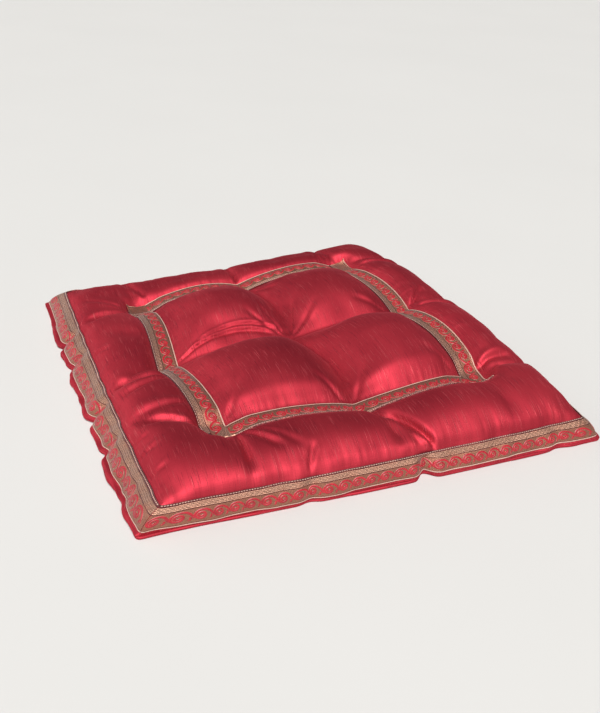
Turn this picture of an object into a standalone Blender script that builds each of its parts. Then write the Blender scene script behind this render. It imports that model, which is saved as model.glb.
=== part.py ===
"""Tufted silk chair pad with brocade ribbon trim.

A square box-edged pad, filled and drawn down at nine tufts into sixteen puffs. Four ribbons are
sewn on the top as a square frame over the eight outer tufts, and four more run round the side
walls under the top seam. The pad lies on its flat underside: +Z is up, -Y is the front edge, and
the origin is the middle of the pad at floor level. Lengths are in metres.

The top panel is worked out on a flat sheet whose coordinates a (left to right) and b (front to
back) run from -1 to 1 between the seams.
"""
import math

import bmesh
import bpy
from mathutils import Vector

# Driving dimensions
TUFT_PLACE = 0.667      # tuft lines, as a share of the way from the middle to the seam
HALF_PANEL = 0.190      # half the side of the top panel, seam to seam
RIBBON_WIDTH = 0.021
RIBBON_THICK = 0.0010
SEWN_GAP = 0.0004       # between the ribbon's back and the silk
MITRE_GAP = 0.00025     # each ribbon end stands back this far from its mitre
FOLD_ROUND = 0.03       # how softly a plain fold turns, as a share of a puff's half side
EAR_START = 0.82        # from here to the corner the walls of both sides lean out together
SEAM_BAND = 0.95        # gathers reach this far in from the seam
BORDER_CELLS = 5        # grid cells from the seam to the ribbon
RIBBON_CELLS = 4        # across the ribbon
INNER_CELLS = 10        # from the ribbon to the middle

# Corners of the top seam, named by their a and b sides
CORNERS = {
    # side a, side b: (x, y, z)
    (-1, -1): (-0.190, -0.190, 0.0240),
    (1, -1): (0.190, -0.199, 0.0205),
    (1, 1): (0.178, 0.199, 0.0255),
    (-1, 1): (-0.182, 0.183, 0.0200),
}

# Tufts, named by their column and row: where the silk is drawn down to
TUFTS = {
    # column, row: (x, y, z)
    (-1, -1): (-0.1234, -0.1256, 0.0250),
    (0, -1): (0.0019, -0.1283, 0.0225),
    (1, -1): (0.1263, -0.1241, 0.0260),
    (-1, 0): (-0.1279, -0.0029, 0.0190),
    (0, 0): (-0.0032, 0.0026, 0.0250),
    (1, 0): (0.1246, 0.0073, 0.0325),
    (-1, 1): (-0.1212, 0.1202, 0.0165),
    (0, 1): (-0.0062, 0.1283, 0.0235),
    (1, 1): (0.1189, 0.1336, 0.0300),
}

# Puffs, a row for each line of four from front to back: how far each crown stands above its tufts
PUFF_CROWNS = (
    # left border, inner left, inner right, right border
    (0.018, 0.018, 0.020, 0.018),
    (0.017, 0.025, 0.024, 0.021),
    (0.016, 0.025, 0.022, 0.020),
    (0.009, 0.010, 0.013, 0.013),
)

# Folds between puffs, a row for each line of tufts: how high the fold stands half way along each
# of its four spans
FOLDS_ACROSS = (
    # left border, inner left, inner right, right border
    (0.011, 0.010, 0.008, 0.010),
    (0.010, 0.014, 0.011, 0.011),
    (0.008, 0.010, 0.012, 0.008),
)
FOLDS_ALONG = (
    # front border, inner front, inner back, back border
    (0.012, 0.013, 0.014, 0.005),
    (0.011, 0.012, 0.012, 0.006),
    (0.015, 0.011, 0.005, 0.008),
)

# Sides. a or b is the way the side runs. swell: how far the seam stands out at its middle. leans:
# how far the wall leans out to its foot, at each end. bows: how far the frame ribbon bows out in
# each of its two spans. folds: where the three folds from the side's tufts meet the seam, and how
# deep each still is there.
SIDES = {
    # name: (along a?, side, swell, leans, bows, ((end, depth) for each fold))
    "front": (True, -1, 0.003, (0.002, 0.010), (0.001, 0.003),
              ((-0.62, 0.35), (0.15, 1.0), (0.62, 0.15))),
    "back": (True, 1, -0.008, (0.014, 0.010), (0.002, -0.001),
             ((-0.68, 0.8), (-0.02, 1.0), (0.62, 0.8))),
    "left": (False, -1, 0.0025, (0.016, 0.017), (-0.001, -0.0035),
             ((-0.46, 0.8), (-0.20, 0.9), (0.54, 0.9))),
    "right": (False, 1, 0.012, (0.013, 0.010), (0.008, 0.006),
              ((-0.58, 0.9), (0.10, 0.9), (0.67, 0.5))),
}

# Walls, top to bottom: share of the seam's height, and share of the wall's lean
WALL_ROWS = (
    # (row, height, lean)
    (1.00, 1.00, 0.00),   # top seam, the ribbon's upper edge
    (0.85, 0.72, 0.50),
    (0.70, 0.46, 0.80),
    (0.55, 0.22, 0.98),   # the ribbon's lower edge
    (0.35, 0.13, 1.25),   # plain silk band
    (0.15, 0.04, 1.15),   # lower seam
    (0.00, 0.00, 0.70),   # edge of the flat underside
)
RIBBON_LOW_ROW = 0.55

# Gathers, where a fold of the wall is drawn in at the seam: the side, the place along it, the
# half width and the depth
GATHERS = (
    # (side, place, half width, depth)
    ("front", -0.39, 0.06, 0.0025),
    ("front", 0.15, 0.07, 0.0055),
    ("front", 0.84, 0.06, 0.0025),
    ("left", 0.52, 0.06, 0.0035),
    ("left", 0.30, 0.06, 0.0025),
    ("left", -0.20, 0.06, 0.0040),
    ("left", -0.46, 0.06, 0.0030),
    ("left", -0.80, 0.05, 0.0020),
    ("right", 0.10, 0.07, 0.0040),
    ("right", -0.58, 0.06, 0.0040),
    ("back", -0.68, 0.06, 0.0030),
    ("back", -0.02, 0.07, 0.0040),
    ("back", 0.62, 0.06, 0.0030),
)

SILK = ("crimson_silk", (0.60, 0.045, 0.09, 1.0), 0.38)
BROCADE = ("brocade_ribbon", (0.50, 0.31, 0.22, 1.0), 0.55)

RIBBON_HALF = 0.5 * RIBBON_WIDTH / HALF_PANEL
BREAKS = (-1.0, -TUFT_PLACE, 0.0, TUFT_PLACE, 1.0)


def lerp(p, q, t):
    return p + (q - p) * t


def smooth(t):
    """0 to 1 with level ends."""
    t = min(max(t, 0.0), 1.0)
    return t * t * (3.0 - 2.0 * t)


def bump(t):
    """1 at t = 0, falling to 0 at t = 1 and beyond, level at both."""
    return smooth(1.0 - abs(t))


def clear_scene():
    for obj in list(bpy.data.objects):
        bpy.data.objects.remove(obj, do_unlink=True)


def make_material(name, colour, roughness):
    material = bpy.data.materials.new(name)
    material.use_nodes = True
    shader = material.node_tree.nodes["Principled BSDF"]
    shader.inputs["Base Color"].default_value = colour
    shader.inputs["Roughness"].default_value = roughness
    shader.inputs["Metallic"].default_value = 0.0
    return material


# Top panel

def corner_blend(a, b):
    """Where the flat sheet's point lies on the plain four-cornered panel."""
    total = Vector((0.0, 0.0, 0.0))
    for (side_a, side_b), place in CORNERS.items():
        weight = 0.25 * (1.0 + side_a * a) * (1.0 + side_b * b)
        total += weight * Vector(place)
    return total


def tuft_weight(value, place):
    """1 on a tuft line and 0 on the next one, or on the seam."""
    line = place * TUFT_PLACE
    past_line = place * (value - line) > 0
    return bump((value - line) / (1.0 - TUFT_PLACE if past_line else TUFT_PLACE))


def fold_lines(along_a, a, b):
    """The lines between puffs across a (or b), which slant from the border's tufts to the seam."""
    value, near, far = (b, "front", "back") if along_a else (a, "left", "right")
    name = near if value < 0 else far
    out = max(0.0, (abs(value) - TUFT_PLACE) / (1.0 - TUFT_PLACE))
    ends = SIDES[name][5]
    lines = [-1.0]
    depths = [1.0]
    for place, (end, depth) in zip(BREAKS[1:4], ends):
        lines.append(lerp(place, end, out))
        depths.append(lerp(1.0, depth, smooth(out)))
    return lines + [1.0], depths + [1.0]


def puff_place(value, lines, depths):
    """The puff a value lies in, where it lies there, from -1 to 1, half the puff's width, and the
    depth of the fold on that side."""
    k = sum(value > line for line in lines[1:4])
    half_width = 0.5 * (lines[k + 1] - lines[k])
    t = (value - lines[k]) / half_width - 1.0
    return k, t, half_width, depths[k + (t > 0)]


def puff_profile(k, t, half_width, depth, under_ribbon):
    """How far a puff has risen from the fold, and how far from the seam, each 0 to 1. The stiff
    ribbon keeps level across the fold, and the puff rises from the ribbon's edge."""
    if (k == 0 and t < 0) or (k == 3 and t > 0):
        return 1.0, math.sqrt(max(0.0, 1.0 - t * t))
    level = under_ribbon * RIBBON_HALF / half_width
    edge = max(0.0, 1.0 - abs(t) - level) / (1.0 - level)
    soft = math.sqrt(edge * edge + FOLD_ROUND * FOLD_ROUND) - FOLD_ROUND
    rise = math.sqrt(max(0.0, 1.0 - (1.0 - soft) ** 2))
    return 1.0 - depth * (1.0 - rise), 1.0


def near_ribbon(value, other):
    """1 where the frame ribbon runs along this fold line, 0 away from it."""
    on_line = smooth((3.0 * RIBBON_HALF - abs(abs(value) - TUFT_PLACE)) / RIBBON_HALF)
    on_run = smooth((TUFT_PLACE + 2.0 * RIBBON_HALF - abs(other)) / RIBBON_HALF)
    return on_line * on_run


def puff_height(a, b):
    """How far the silk stands above its tufts."""
    lines_a, depths_a = fold_lines(True, a, b)
    lines_b, depths_b = fold_lines(False, a, b)
    col, t, half_a, depth_a = puff_place(a, lines_a, depths_a)
    row, u, half_b, depth_b = puff_place(b, lines_b, depths_b)
    rise_a, seam_a = puff_profile(col, t, half_a, depth_a, near_ribbon(a, b))
    rise_b, seam_b = puff_profile(row, u, half_b, depth_b, near_ribbon(b, a))
    crown = crown_height(col + 0.5 * t, row + 0.5 * u)
    fold = fold_height(col, row, t, u, crown)
    ridge = 1.0 - (1.0 - rise_a) * (1.0 - rise_b)
    return (fold * ridge + (crown - fold) * rise_a * rise_b) * seam_a * seam_b


def crown_height(col, row):
    """The crown's height at a place counted in puffs, passing evenly from each to the next."""
    col, row = min(max(col, 0.0), 3.0), min(max(row, 0.0), 3.0)
    left, front = min(int(col), 2), min(int(row), 2)
    near = lerp(PUFF_CROWNS[front][left], PUFF_CROWNS[front][left + 1], col - left)
    far = lerp(PUFF_CROWNS[front + 1][left], PUFF_CROWNS[front + 1][left + 1], col - left)
    return lerp(near, far, row - front)


def fold_height(col, row, t, u, crown):
    """The height of the folds round a puff, shared out so that each keeps its own at its line."""
    left = FOLDS_ALONG[col - 1][row] if col > 0 else crown
    right = FOLDS_ALONG[col][row] if col < 3 else crown
    front = FOLDS_ACROSS[row - 1][col] if row > 0 else crown
    back = FOLDS_ACROSS[row][col] if row < 3 else crown
    shares = (
        ((1.0 - u * u) * (1.0 - t), left),
        ((1.0 - u * u) * (1.0 + t), right),
        ((1.0 - t * t) * (1.0 - u), front),
        ((1.0 - t * t) * (1.0 + u), back),
    )
    total = sum(share for share, height in shares)
    if total < 1e-9:
        return 0.0
    return sum(share * height for share, height in shares) / total


def outward(side_name):
    along_a, side = SIDES[side_name][:2]
    return Vector((0.0, side, 0.0)) if along_a else Vector((side, 0.0, 0.0))


def to_side(side_name, a, b):
    """How far out a point is towards a side, and where it is along that side."""
    along_a, side = SIDES[side_name][:2]
    return (side * b, a) if along_a else (side * a, b)


def panel_point(a, b):
    """A point of the top panel, tufted and filled."""
    point = corner_blend(a, b)
    for (col, row), place in TUFTS.items():
        weight = tuft_weight(a, col) * tuft_weight(b, row)
        if weight > 0.0:
            pulled = Vector(place) - corner_blend(col * TUFT_PLACE, row * TUFT_PLACE)
            point += weight * pulled
    for name, (along_a, side, swell, leans, bows, folds) in SIDES.items():
        out, along = to_side(name, a, b)
        border = (out - TUFT_PLACE) / (1.0 - TUFT_PLACE)
        push = swell * (1.0 - along * along) * smooth(border)
        if abs(along) < TUFT_PLACE:
            push += bows[along > 0] * abs(math.sin(math.pi * along / TUFT_PLACE)) * bump(border)
        point += outward(name) * push
    point.z += puff_height(a, b)
    return point


# Side walls

def gather_depth(side_name, along):
    """How far the wall is drawn in at this place along its side."""
    depth = 0.0
    for name, place, half_width, amount in GATHERS:
        if name == side_name:
            depth = max(depth, amount * bump((along - place) / half_width))
    return depth


def wall_shares(row):
    """The shares of height and lean at a row, read from the table."""
    for (top, high, out), (foot, low, more) in zip(WALL_ROWS, WALL_ROWS[1:]):
        if row >= foot - 1e-6:
            t = (top - row) / (top - foot)
            return lerp(high, low, t), lerp(out, more, t)
    return 0.0, WALL_ROWS[-1][2]


def wall_point(a, b, row):
    """A point of the side walls: a and b on the seam, row 1 at the seam and 0 at the foot."""
    seam = panel_point(a, b)
    high, lean_share = wall_shares(row)
    point = Vector((seam.x, seam.y, seam.z * high))
    for name, (along_a, side, swell, leans, bows, folds) in SIDES.items():
        out, along = to_side(name, a, b)
        at_side = smooth((out - EAR_START) / (1.0 - EAR_START))
        at_seam = smooth((out - SEAM_BAND) / (1.0 - SEAM_BAND))
        lean = at_side * lerp(leans[0], leans[1], 0.5 * (along + 1.0))
        drawn = at_seam * gather_depth(name, along)
        point += outward(name) * (lean * lean_share - drawn * min(1.0, 2.0 * lean_share))
    return point


# Meshes

def grid_lines():
    """The sheet's grid, with a line at each tuft and along both edges of the ribbon."""
    stops = (
        (1.0, TUFT_PLACE + RIBBON_HALF, BORDER_CELLS),
        (TUFT_PLACE + RIBBON_HALF, TUFT_PLACE - RIBBON_HALF, RIBBON_CELLS),
        (TUFT_PLACE - RIBBON_HALF, 0.0, INNER_CELLS),
    )
    right = [lerp(start, end, k / cells) for start, end, cells in stops for k in range(cells)]
    return sorted([-v for v in right] + [0.0] + right)


def cut(bm, point, normal, faces=None):
    faces = faces if faces is not None else list(bm.faces)
    edges = {edge for face in faces for edge in face.edges}
    verts = {vert for face in faces for vert in face.verts}
    geometry = list(verts) + list(edges) + list(faces)
    bmesh.ops.bisect_plane(bm, geom=geometry, dist=1e-6, plane_co=point, plane_no=normal)


def sheet_box():
    """A box in sheet coordinates, its top cut on the grid and on the mitres of the frame."""
    bm = bmesh.new()
    bmesh.ops.create_cube(bm, size=2.0)
    for vert in bm.verts:
        vert.co.z = 0.5 * (vert.co.z + 1.0)
    for line in grid_lines()[1:-1]:
        cut(bm, (line, 0, 0), (1, 0, 0))
        cut(bm, (0, line, 0), (0, 1, 0))
    for row, height, lean in WALL_ROWS[1:-1]:
        cut(bm, (0, 0, row), (0, 0, 1))
    floor = [face for face in bm.faces if face.calc_center_median().z < 1e-6]
    bmesh.ops.dissolve_faces(bm, faces=floor, use_verts=True)
    for side_a, side_b in CORNERS:
        square = [face for face in bm.faces if in_mitre_square(face, side_a, side_b)]
        cut(bm, (0, 0, 0), (side_b, -side_a, 0), square)
    return bm


def in_mitre_square(face, side_a, side_b):
    centre = face.calc_center_median()
    if centre.z < 1.0 - 1e-6:
        return False
    return (abs(side_a * centre.x - TUFT_PLACE) < RIBBON_HALF
            and abs(side_b * centre.y - TUFT_PLACE) < RIBBON_HALF)


def frame_side(centre):
    """The side whose frame ribbon covers this place of the sheet, or None."""
    out = max(abs(centre.x), abs(centre.y))
    if centre.z < 1.0 - 1e-6 or abs(out - TUFT_PLACE) > RIBBON_HALF:
        return None
    return nearest_side(centre)


def wall_side(centre):
    """The side whose wall ribbon covers this place, or None."""
    if centre.z > 1.0 - 1e-6 or centre.z < RIBBON_LOW_ROW:
        return None
    return nearest_side(centre)


def nearest_side(centre):
    if abs(centre.y) > abs(centre.x):
        return "back" if centre.y > 0 else "front"
    return "right" if centre.x > 0 else "left"


def shape(bm):
    """Moves the box from sheet coordinates to the pad's real shape."""
    for vert in bm.verts:
        a, b, row = vert.co
        vert.co = wall_point(a, b, row) if row < 1.0 - 1e-6 else panel_point(a, b)


def mesh_object(name, bm, material, collection):
    mesh = bpy.data.meshes.new(name)
    bm.to_mesh(mesh)
    bm.free()
    mesh.shade_smooth()
    obj = bpy.data.objects.new(name, mesh)
    obj.data.materials.append(material)
    collection.objects.link(obj)
    return obj


def make_pad(collection, material):
    bm = sheet_box()
    shape(bm)
    bmesh.ops.triangulate(bm, faces=bm.faces)
    bmesh.ops.recalc_face_normals(bm, faces=bm.faces)
    return mesh_object("pad_body", bm, material, collection)


def ribbon_patch(side_name, covers):
    """The pad's own faces under one ribbon, alone. Two layers stay on their points: the pad's
    normal there, and whether the point is where the ribbon meets its neighbour."""
    bm = sheet_box()
    normals = bm.verts.layers.float_vector.new("outward")
    mitres = bm.verts.layers.int.new("mitre")
    for vert in bm.verts:
        vert[mitres] = abs(abs(vert.co.x) - abs(vert.co.y)) < 1e-5
    covered = {face for face in bm.faces if covers(face.calc_center_median()) == side_name}
    shape(bm)
    split = bmesh.ops.triangulate(bm, faces=bm.faces)["face_map"]
    covered |= {half for half, whole in split.items() if whole in covered}
    bmesh.ops.recalc_face_normals(bm, faces=bm.faces)
    bm.normal_update()
    for vert in bm.verts:
        vert[normals] = vert.normal
    bmesh.ops.delete(bm, geom=[face for face in bm.faces if face not in covered], context="FACES")
    return bm, normals, mitres


def make_ribbon(name, side_name, covers, collection, material):
    """A ribbon laid on the pad: the faces under it, stood off by the sewing gap and thickened."""
    bm, normals, mitres = ribbon_patch(side_name, covers)
    along_a = SIDES[side_name][0]
    for vert in bm.verts:
        inward = -1.0 if (vert.co.x if along_a else vert.co.y) > 0 else 1.0
        back_from_mitre = Vector((inward, 0, 0) if along_a else (0, inward, 0)) * MITRE_GAP
        vert.co += vert[normals] * SEWN_GAP + vert[mitres] * back_from_mitre
    whole = list(bm.verts) + list(bm.edges) + list(bm.faces)
    raised = bmesh.ops.extrude_face_region(bm, geom=whole, use_keep_orig=True)["geom"]
    for vert in raised:
        if isinstance(vert, bmesh.types.BMVert):
            vert.co += vert[normals] * RIBBON_THICK
    bmesh.ops.recalc_face_normals(bm, faces=bm.faces)
    return mesh_object(name, bm, material, collection)


def main():
    clear_scene()
    collection = bpy.data.collections.new("chair_pad")
    bpy.context.scene.collection.children.link(collection)
    silk = make_material(*SILK)
    brocade = make_material(*BROCADE)
    make_pad(collection, silk)
    for side_name in SIDES:
        make_ribbon("frame_ribbon_" + side_name, side_name, frame_side, collection, brocade)
        make_ribbon("wall_ribbon_" + side_name, side_name, wall_side, collection, brocade)


main()
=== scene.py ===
"""Tufted silk chair pad with brocade ribbon trim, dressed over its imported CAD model.

A square pad is filled and drawn down at nine tufts into sixteen puffs. Its silk is a grid on a flat
sheet whose coordinates a (left to right) and b (front to back) run from -1 to 1 between the seams,
and whose rows run down the side walls. Ribbons, scrolls, edge threads and stitches lie on that
sheet. The pad lies on its flat underside: +Z is up, -Y is the front edge. Lengths are in metres.
"""
import math

import bmesh
import bpy
import numpy as np
from bpy.props import FloatProperty, FloatVectorProperty, PointerProperty
from mathutils import Matrix, Vector


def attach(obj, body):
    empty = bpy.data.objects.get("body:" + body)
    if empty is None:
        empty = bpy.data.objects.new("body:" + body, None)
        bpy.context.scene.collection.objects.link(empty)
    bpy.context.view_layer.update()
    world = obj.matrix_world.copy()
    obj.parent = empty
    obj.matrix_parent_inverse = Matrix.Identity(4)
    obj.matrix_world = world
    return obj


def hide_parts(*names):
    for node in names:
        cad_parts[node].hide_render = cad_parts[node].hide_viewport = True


bl_info = {
    "name": "Tufted chair pad",
    "version": (1, 0, 0),
    "blender": (4, 5, 0),
    "location": "3D View > Sidebar > Chair pad",
    "description": "A tufted silk chair pad with brocade ribbon sewn on its top and walls",
    "category": "Add Mesh",
}

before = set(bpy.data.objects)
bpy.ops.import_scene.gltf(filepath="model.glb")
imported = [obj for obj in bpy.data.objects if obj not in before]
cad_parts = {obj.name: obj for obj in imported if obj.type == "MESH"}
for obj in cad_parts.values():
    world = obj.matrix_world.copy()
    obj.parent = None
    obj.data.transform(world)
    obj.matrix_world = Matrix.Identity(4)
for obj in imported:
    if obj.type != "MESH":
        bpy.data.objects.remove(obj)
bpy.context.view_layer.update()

# Driving dimensions
TUFT_PLACE = 0.667      # tuft lines, as a share of the way from the middle to the seam
HALF_PANEL = 0.190      # half the side of the top panel, seam to seam
RIBBON_WIDTH = 0.021
MITRE_GAP = 0.00025     # each ribbon end stands back this far from its mitre
MIDDLE_BOW = 0.055      # how far the middle folds that run back bow to the right
PUFF_BACK = 0.14        # how far back a puff's crest lies, as a share of half its side
PUFF_DOME = 0.45        # how far an inner puff is a dome rather than a half tube
FOLD_ROUND = 0.03       # how softly a plain fold turns, as a share of a puff's half side
EAR_START = 0.82        # from here to the corner the walls of both sides lean out together
SEAM_BAND = 0.95        # gathers reach this far in from the seam
BORDER_CELLS = 16       # grid cells from the seam to the ribbon
RIBBON_CELLS = 8        # across the ribbon
INNER_CELLS = 38        # from the ribbon to the middle

# Corners of the top seam, named by their a and b sides
CORNERS = {
    # side a, side b: (x, y, z)
    (-1, -1): (-0.190, -0.190, 0.0240),
    (1, -1): (0.190, -0.199, 0.0205),
    (1, 1): (0.178, 0.199, 0.0255),
    (-1, 1): (-0.182, 0.183, 0.0200),
}

# Tufts, named by their column and row: where the silk is drawn down to
TUFTS = {
    # column, row: (x, y, z)
    (-1, -1): (-0.1234, -0.1256, 0.0250),
    (0, -1): (0.0019, -0.1283, 0.0225),
    (1, -1): (0.1263, -0.1241, 0.0260),
    (-1, 0): (-0.1279, -0.0029, 0.0190),
    (0, 0): (-0.0032, 0.0026, 0.0250),
    (1, 0): (0.1246, 0.0073, 0.0325),
    (-1, 1): (-0.1212, 0.1202, 0.0165),
    (0, 1): (-0.0062, 0.1283, 0.0235),
    (1, 1): (0.1189, 0.1336, 0.0300),
}

# Puffs, a row for each line of four from front to back: how far each crown stands above its tufts
PUFF_CROWNS = (
    # left border, inner left, inner right, right border
    (0.018, 0.018, 0.020, 0.018),
    (0.017, 0.028, 0.027, 0.021),
    (0.016, 0.028, 0.025, 0.020),
    (0.009, 0.010, 0.013, 0.013),
)

# Folds between puffs, a row for each line of tufts: how high the fold stands half way along each
# of its four spans
FOLDS_ACROSS = (
    # left border, inner left, inner right, right border
    (0.011, 0.010, 0.008, 0.010),
    (0.010, 0.007, 0.005, 0.011),
    (0.008, 0.010, 0.012, 0.008),
)
FOLDS_ALONG = (
    # front border, inner front, inner back, back border
    (0.012, 0.013, 0.014, 0.005),
    (0.011, 0.005, 0.006, 0.006),
    (0.015, 0.011, 0.005, 0.008),
)

# Sides. a or b is the way the side runs. swell: how far the seam stands out at its middle. leans:
# how far the wall leans out to its foot, at each end. bows: how far the frame ribbon bows out in
# each of its two spans. folds: where the three folds from the side's tufts meet the seam, and how
# deep each still is there.
SIDES = {
    # name: (along a?, side, swell, leans, bows, ((end, depth) for each fold))
    "front": (True, -1, 0.003, (0.002, 0.010), (0.001, 0.003),
              ((-0.62, 0.35), (0.15, 1.0), (0.62, 0.15))),
    "back": (True, 1, -0.008, (0.014, 0.010), (0.002, -0.001),
             ((-0.68, 0.8), (-0.02, 1.0), (0.62, 0.8))),
    "left": (False, -1, 0.0025, (0.016, 0.017), (-0.001, -0.0035),
             ((-0.46, 0.8), (-0.20, 0.9), (0.54, 0.9))),
    "right": (False, 1, 0.012, (0.013, 0.010), (0.008, 0.006),
              ((-0.58, 0.9), (0.10, 0.9), (0.67, 0.5))),
}

# Walls, top to bottom: share of the seam's height, and share of the wall's lean
WALL_ROWS = (
    # (row, height, lean)
    (1.00, 1.00, 0.00),   # top seam, the ribbon's upper edge
    (0.85, 0.72, 0.50),
    (0.70, 0.46, 0.80),
    (0.55, 0.22, 0.98),   # the ribbon's lower edge
    (0.35, 0.13, 1.25),   # plain silk band
    (0.15, 0.04, 1.15),   # lower seam
    (0.00, 0.00, 0.70),   # edge of the flat underside
)
RIBBON_LOW_ROW = 0.55

# Gathers, where a fold of the wall is drawn in at the seam: the side, the place along it, the
# half width and the depth
GATHERS = (
    # (side, place, half width, depth)
    ("front", -0.39, 0.06, 0.0025),
    ("front", 0.15, 0.06, 0.0085),
    ("front", 0.84, 0.06, 0.0025),
    ("left", 0.52, 0.05, 0.0060),
    ("left", 0.30, 0.05, 0.0040),
    ("left", -0.20, 0.05, 0.0070),
    ("left", -0.46, 0.05, 0.0045),
    ("left", -0.80, 0.05, 0.0020),
    ("right", 0.10, 0.07, 0.0040),
    ("right", -0.58, 0.06, 0.0040),
    ("back", -0.68, 0.06, 0.0030),
    ("back", -0.02, 0.07, 0.0040),
    ("back", 0.62, 0.06, 0.0030),
)

RIBBON_HALF = 0.5 * RIBBON_WIDTH / HALF_PANEL
CLOSE = 1e-6            # places nearer than this are the same
LAST_PUFF = 3           # puffs are counted from 0 at the left and front borders
BREAKS = (-1.0, -TUFT_PLACE, 0.0, TUFT_PLACE, 1.0)


def lerp(p, q, t):
    return p + (q - p) * t


def level_ends(t):
    """Passes from 0 to 1 as t does, level at both ends."""
    return t * t * (3.0 - 2.0 * t)


def smooth(t):
    """0 below t = 0, 1 above t = 1, with level ends between them."""
    return level_ends(min(max(t, 0.0), 1.0))


def bump(t):
    """1 at t = 0, falling to 0 at t = 1 and beyond, level at both."""
    return smooth(1.0 - abs(t))


# Top panel

def corner_blend(a, b):
    """Where the flat sheet's point lies on the plain four-cornered panel."""
    total = Vector((0.0, 0.0, 0.0))
    for (side_a, side_b), place in CORNERS.items():
        weight = 0.25 * (1.0 + side_a * a) * (1.0 + side_b * b)
        total += weight * Vector(place)
    return total


def tuft_weight(value, place):
    """1 on a tuft line and 0 on the next one, or on the seam."""
    line = place * TUFT_PLACE
    past_line = place * (value - line) > 0
    return bump((value - line) / (1.0 - TUFT_PLACE if past_line else TUFT_PLACE))


def fold_lines(along_a, a, b):
    """The lines between puffs across a (or b), which slant from the border's tufts to the seam."""
    value, near, far = (b, "front", "back") if along_a else (a, "left", "right")
    name = near if value < 0 else far
    out = max(0.0, (abs(value) - TUFT_PLACE) / (1.0 - TUFT_PLACE))
    ends = SIDES[name][5]
    lines = [-1.0]
    depths = [1.0]
    for place, (end, depth) in zip(BREAKS[1:4], ends):
        lines.append(lerp(place, end, out))
        depths.append(lerp(1.0, depth, smooth(out)))
    if along_a and abs(b) < TUFT_PLACE:
        lines[2] += MIDDLE_BOW * math.sin(math.pi * abs(b) / TUFT_PLACE)
    return lines + [1.0], depths + [1.0]


def puff_place(value, lines, depths):
    """The puff a value lies in, where it lies there, from -1 to 1, half the puff's width, and the
    depth of the fold on that side."""
    k = sum(value > line for line in lines[1:4])
    half_width = 0.5 * (lines[k + 1] - lines[k])
    t = (value - lines[k]) / half_width - 1.0
    return k, t, half_width, depths[k + (t > 0)]


def puff_profile(k, t, half_width, depth, under_ribbon):
    """How far a puff has risen from the fold, and how far from the seam, each 0 to 1. The stiff
    ribbon keeps level across the fold, and the puff rises from the ribbon's edge."""
    if (k == 0 and t < 0) or (k == LAST_PUFF and t > 0):
        return 1.0, math.sqrt(max(0.0, 1.0 - t * t))
    level = under_ribbon * RIBBON_HALF / half_width
    edge = max(0.0, 1.0 - abs(t) - level) / (1.0 - level)
    soft = math.sqrt(edge * edge + FOLD_ROUND * FOLD_ROUND) - FOLD_ROUND
    round_rise = 1.0 - (1.0 - soft) ** 2
    rise = lerp(math.sqrt(max(0.0, round_rise)), round_rise, PUFF_DOME if 0 < k < LAST_PUFF else 0.0)
    return 1.0 - depth * (1.0 - rise), 1.0


def near_ribbon(value, other):
    """1 where the frame ribbon runs along this fold line, 0 away from it."""
    on_line = smooth((3.0 * RIBBON_HALF - abs(abs(value) - TUFT_PLACE)) / RIBBON_HALF)
    on_run = smooth((TUFT_PLACE + 2.0 * RIBBON_HALF - abs(other)) / RIBBON_HALF)
    return on_line * on_run


def puff_height(a, b):
    """How far the silk stands above its tufts."""
    lines_a, depths_a = fold_lines(True, a, b)
    lines_b, depths_b = fold_lines(False, a, b)
    col, t, half_a, depth_a = puff_place(a, lines_a, depths_a)
    row, u, half_b, depth_b = puff_place(b, lines_b, depths_b)
    if row < LAST_PUFF:
        u -= PUFF_BACK * (1.0 - u * u)
    rise_a, seam_a = puff_profile(col, t, half_a, depth_a, near_ribbon(a, b))
    rise_b, seam_b = puff_profile(row, u, half_b, depth_b, near_ribbon(b, a))
    crown = crown_height(col + 0.5 * t, row + 0.5 * u)
    fold = fold_height(col, row, t, u, crown)
    ridge = 1.0 - (1.0 - rise_a) * (1.0 - rise_b)
    return (fold * ridge + (crown - fold) * rise_a * rise_b) * seam_a * seam_b


def crown_height(col, row):
    """The crown's height at a place counted in puffs, passing evenly from each to the next."""
    col, row = (min(max(place, 0.0), LAST_PUFF) for place in (col, row))
    left, front = (min(int(place), LAST_PUFF - 1) for place in (col, row))
    near = lerp(PUFF_CROWNS[front][left], PUFF_CROWNS[front][left + 1], col - left)
    far = lerp(PUFF_CROWNS[front + 1][left], PUFF_CROWNS[front + 1][left + 1], col - left)
    return lerp(near, far, row - front)


def fold_height(col, row, t, u, crown):
    """The height of the folds round a puff, shared out so that each keeps its own at its line."""
    left = FOLDS_ALONG[col - 1][row] if col > 0 else crown
    right = FOLDS_ALONG[col][row] if col < LAST_PUFF else crown
    front = FOLDS_ACROSS[row - 1][col] if row > 0 else crown
    back = FOLDS_ACROSS[row][col] if row < LAST_PUFF else crown
    shares = (
        ((1.0 - u * u) * (1.0 - t), left),
        ((1.0 - u * u) * (1.0 + t), right),
        ((1.0 - t * t) * (1.0 - u), front),
        ((1.0 - t * t) * (1.0 + u), back),
    )
    total = sum(share for share, height in shares)
    if total < 1e-9:
        return 0.0
    return sum(share * height for share, height in shares) / total


def outward(side_name):
    along_a, side = SIDES[side_name][:2]
    return Vector((0.0, side, 0.0)) if along_a else Vector((side, 0.0, 0.0))


def to_side(side_name, a, b):
    """How far out a point is towards a side, and where it is along that side."""
    along_a, side = SIDES[side_name][:2]
    return (side * b, a) if along_a else (side * a, b)


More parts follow.
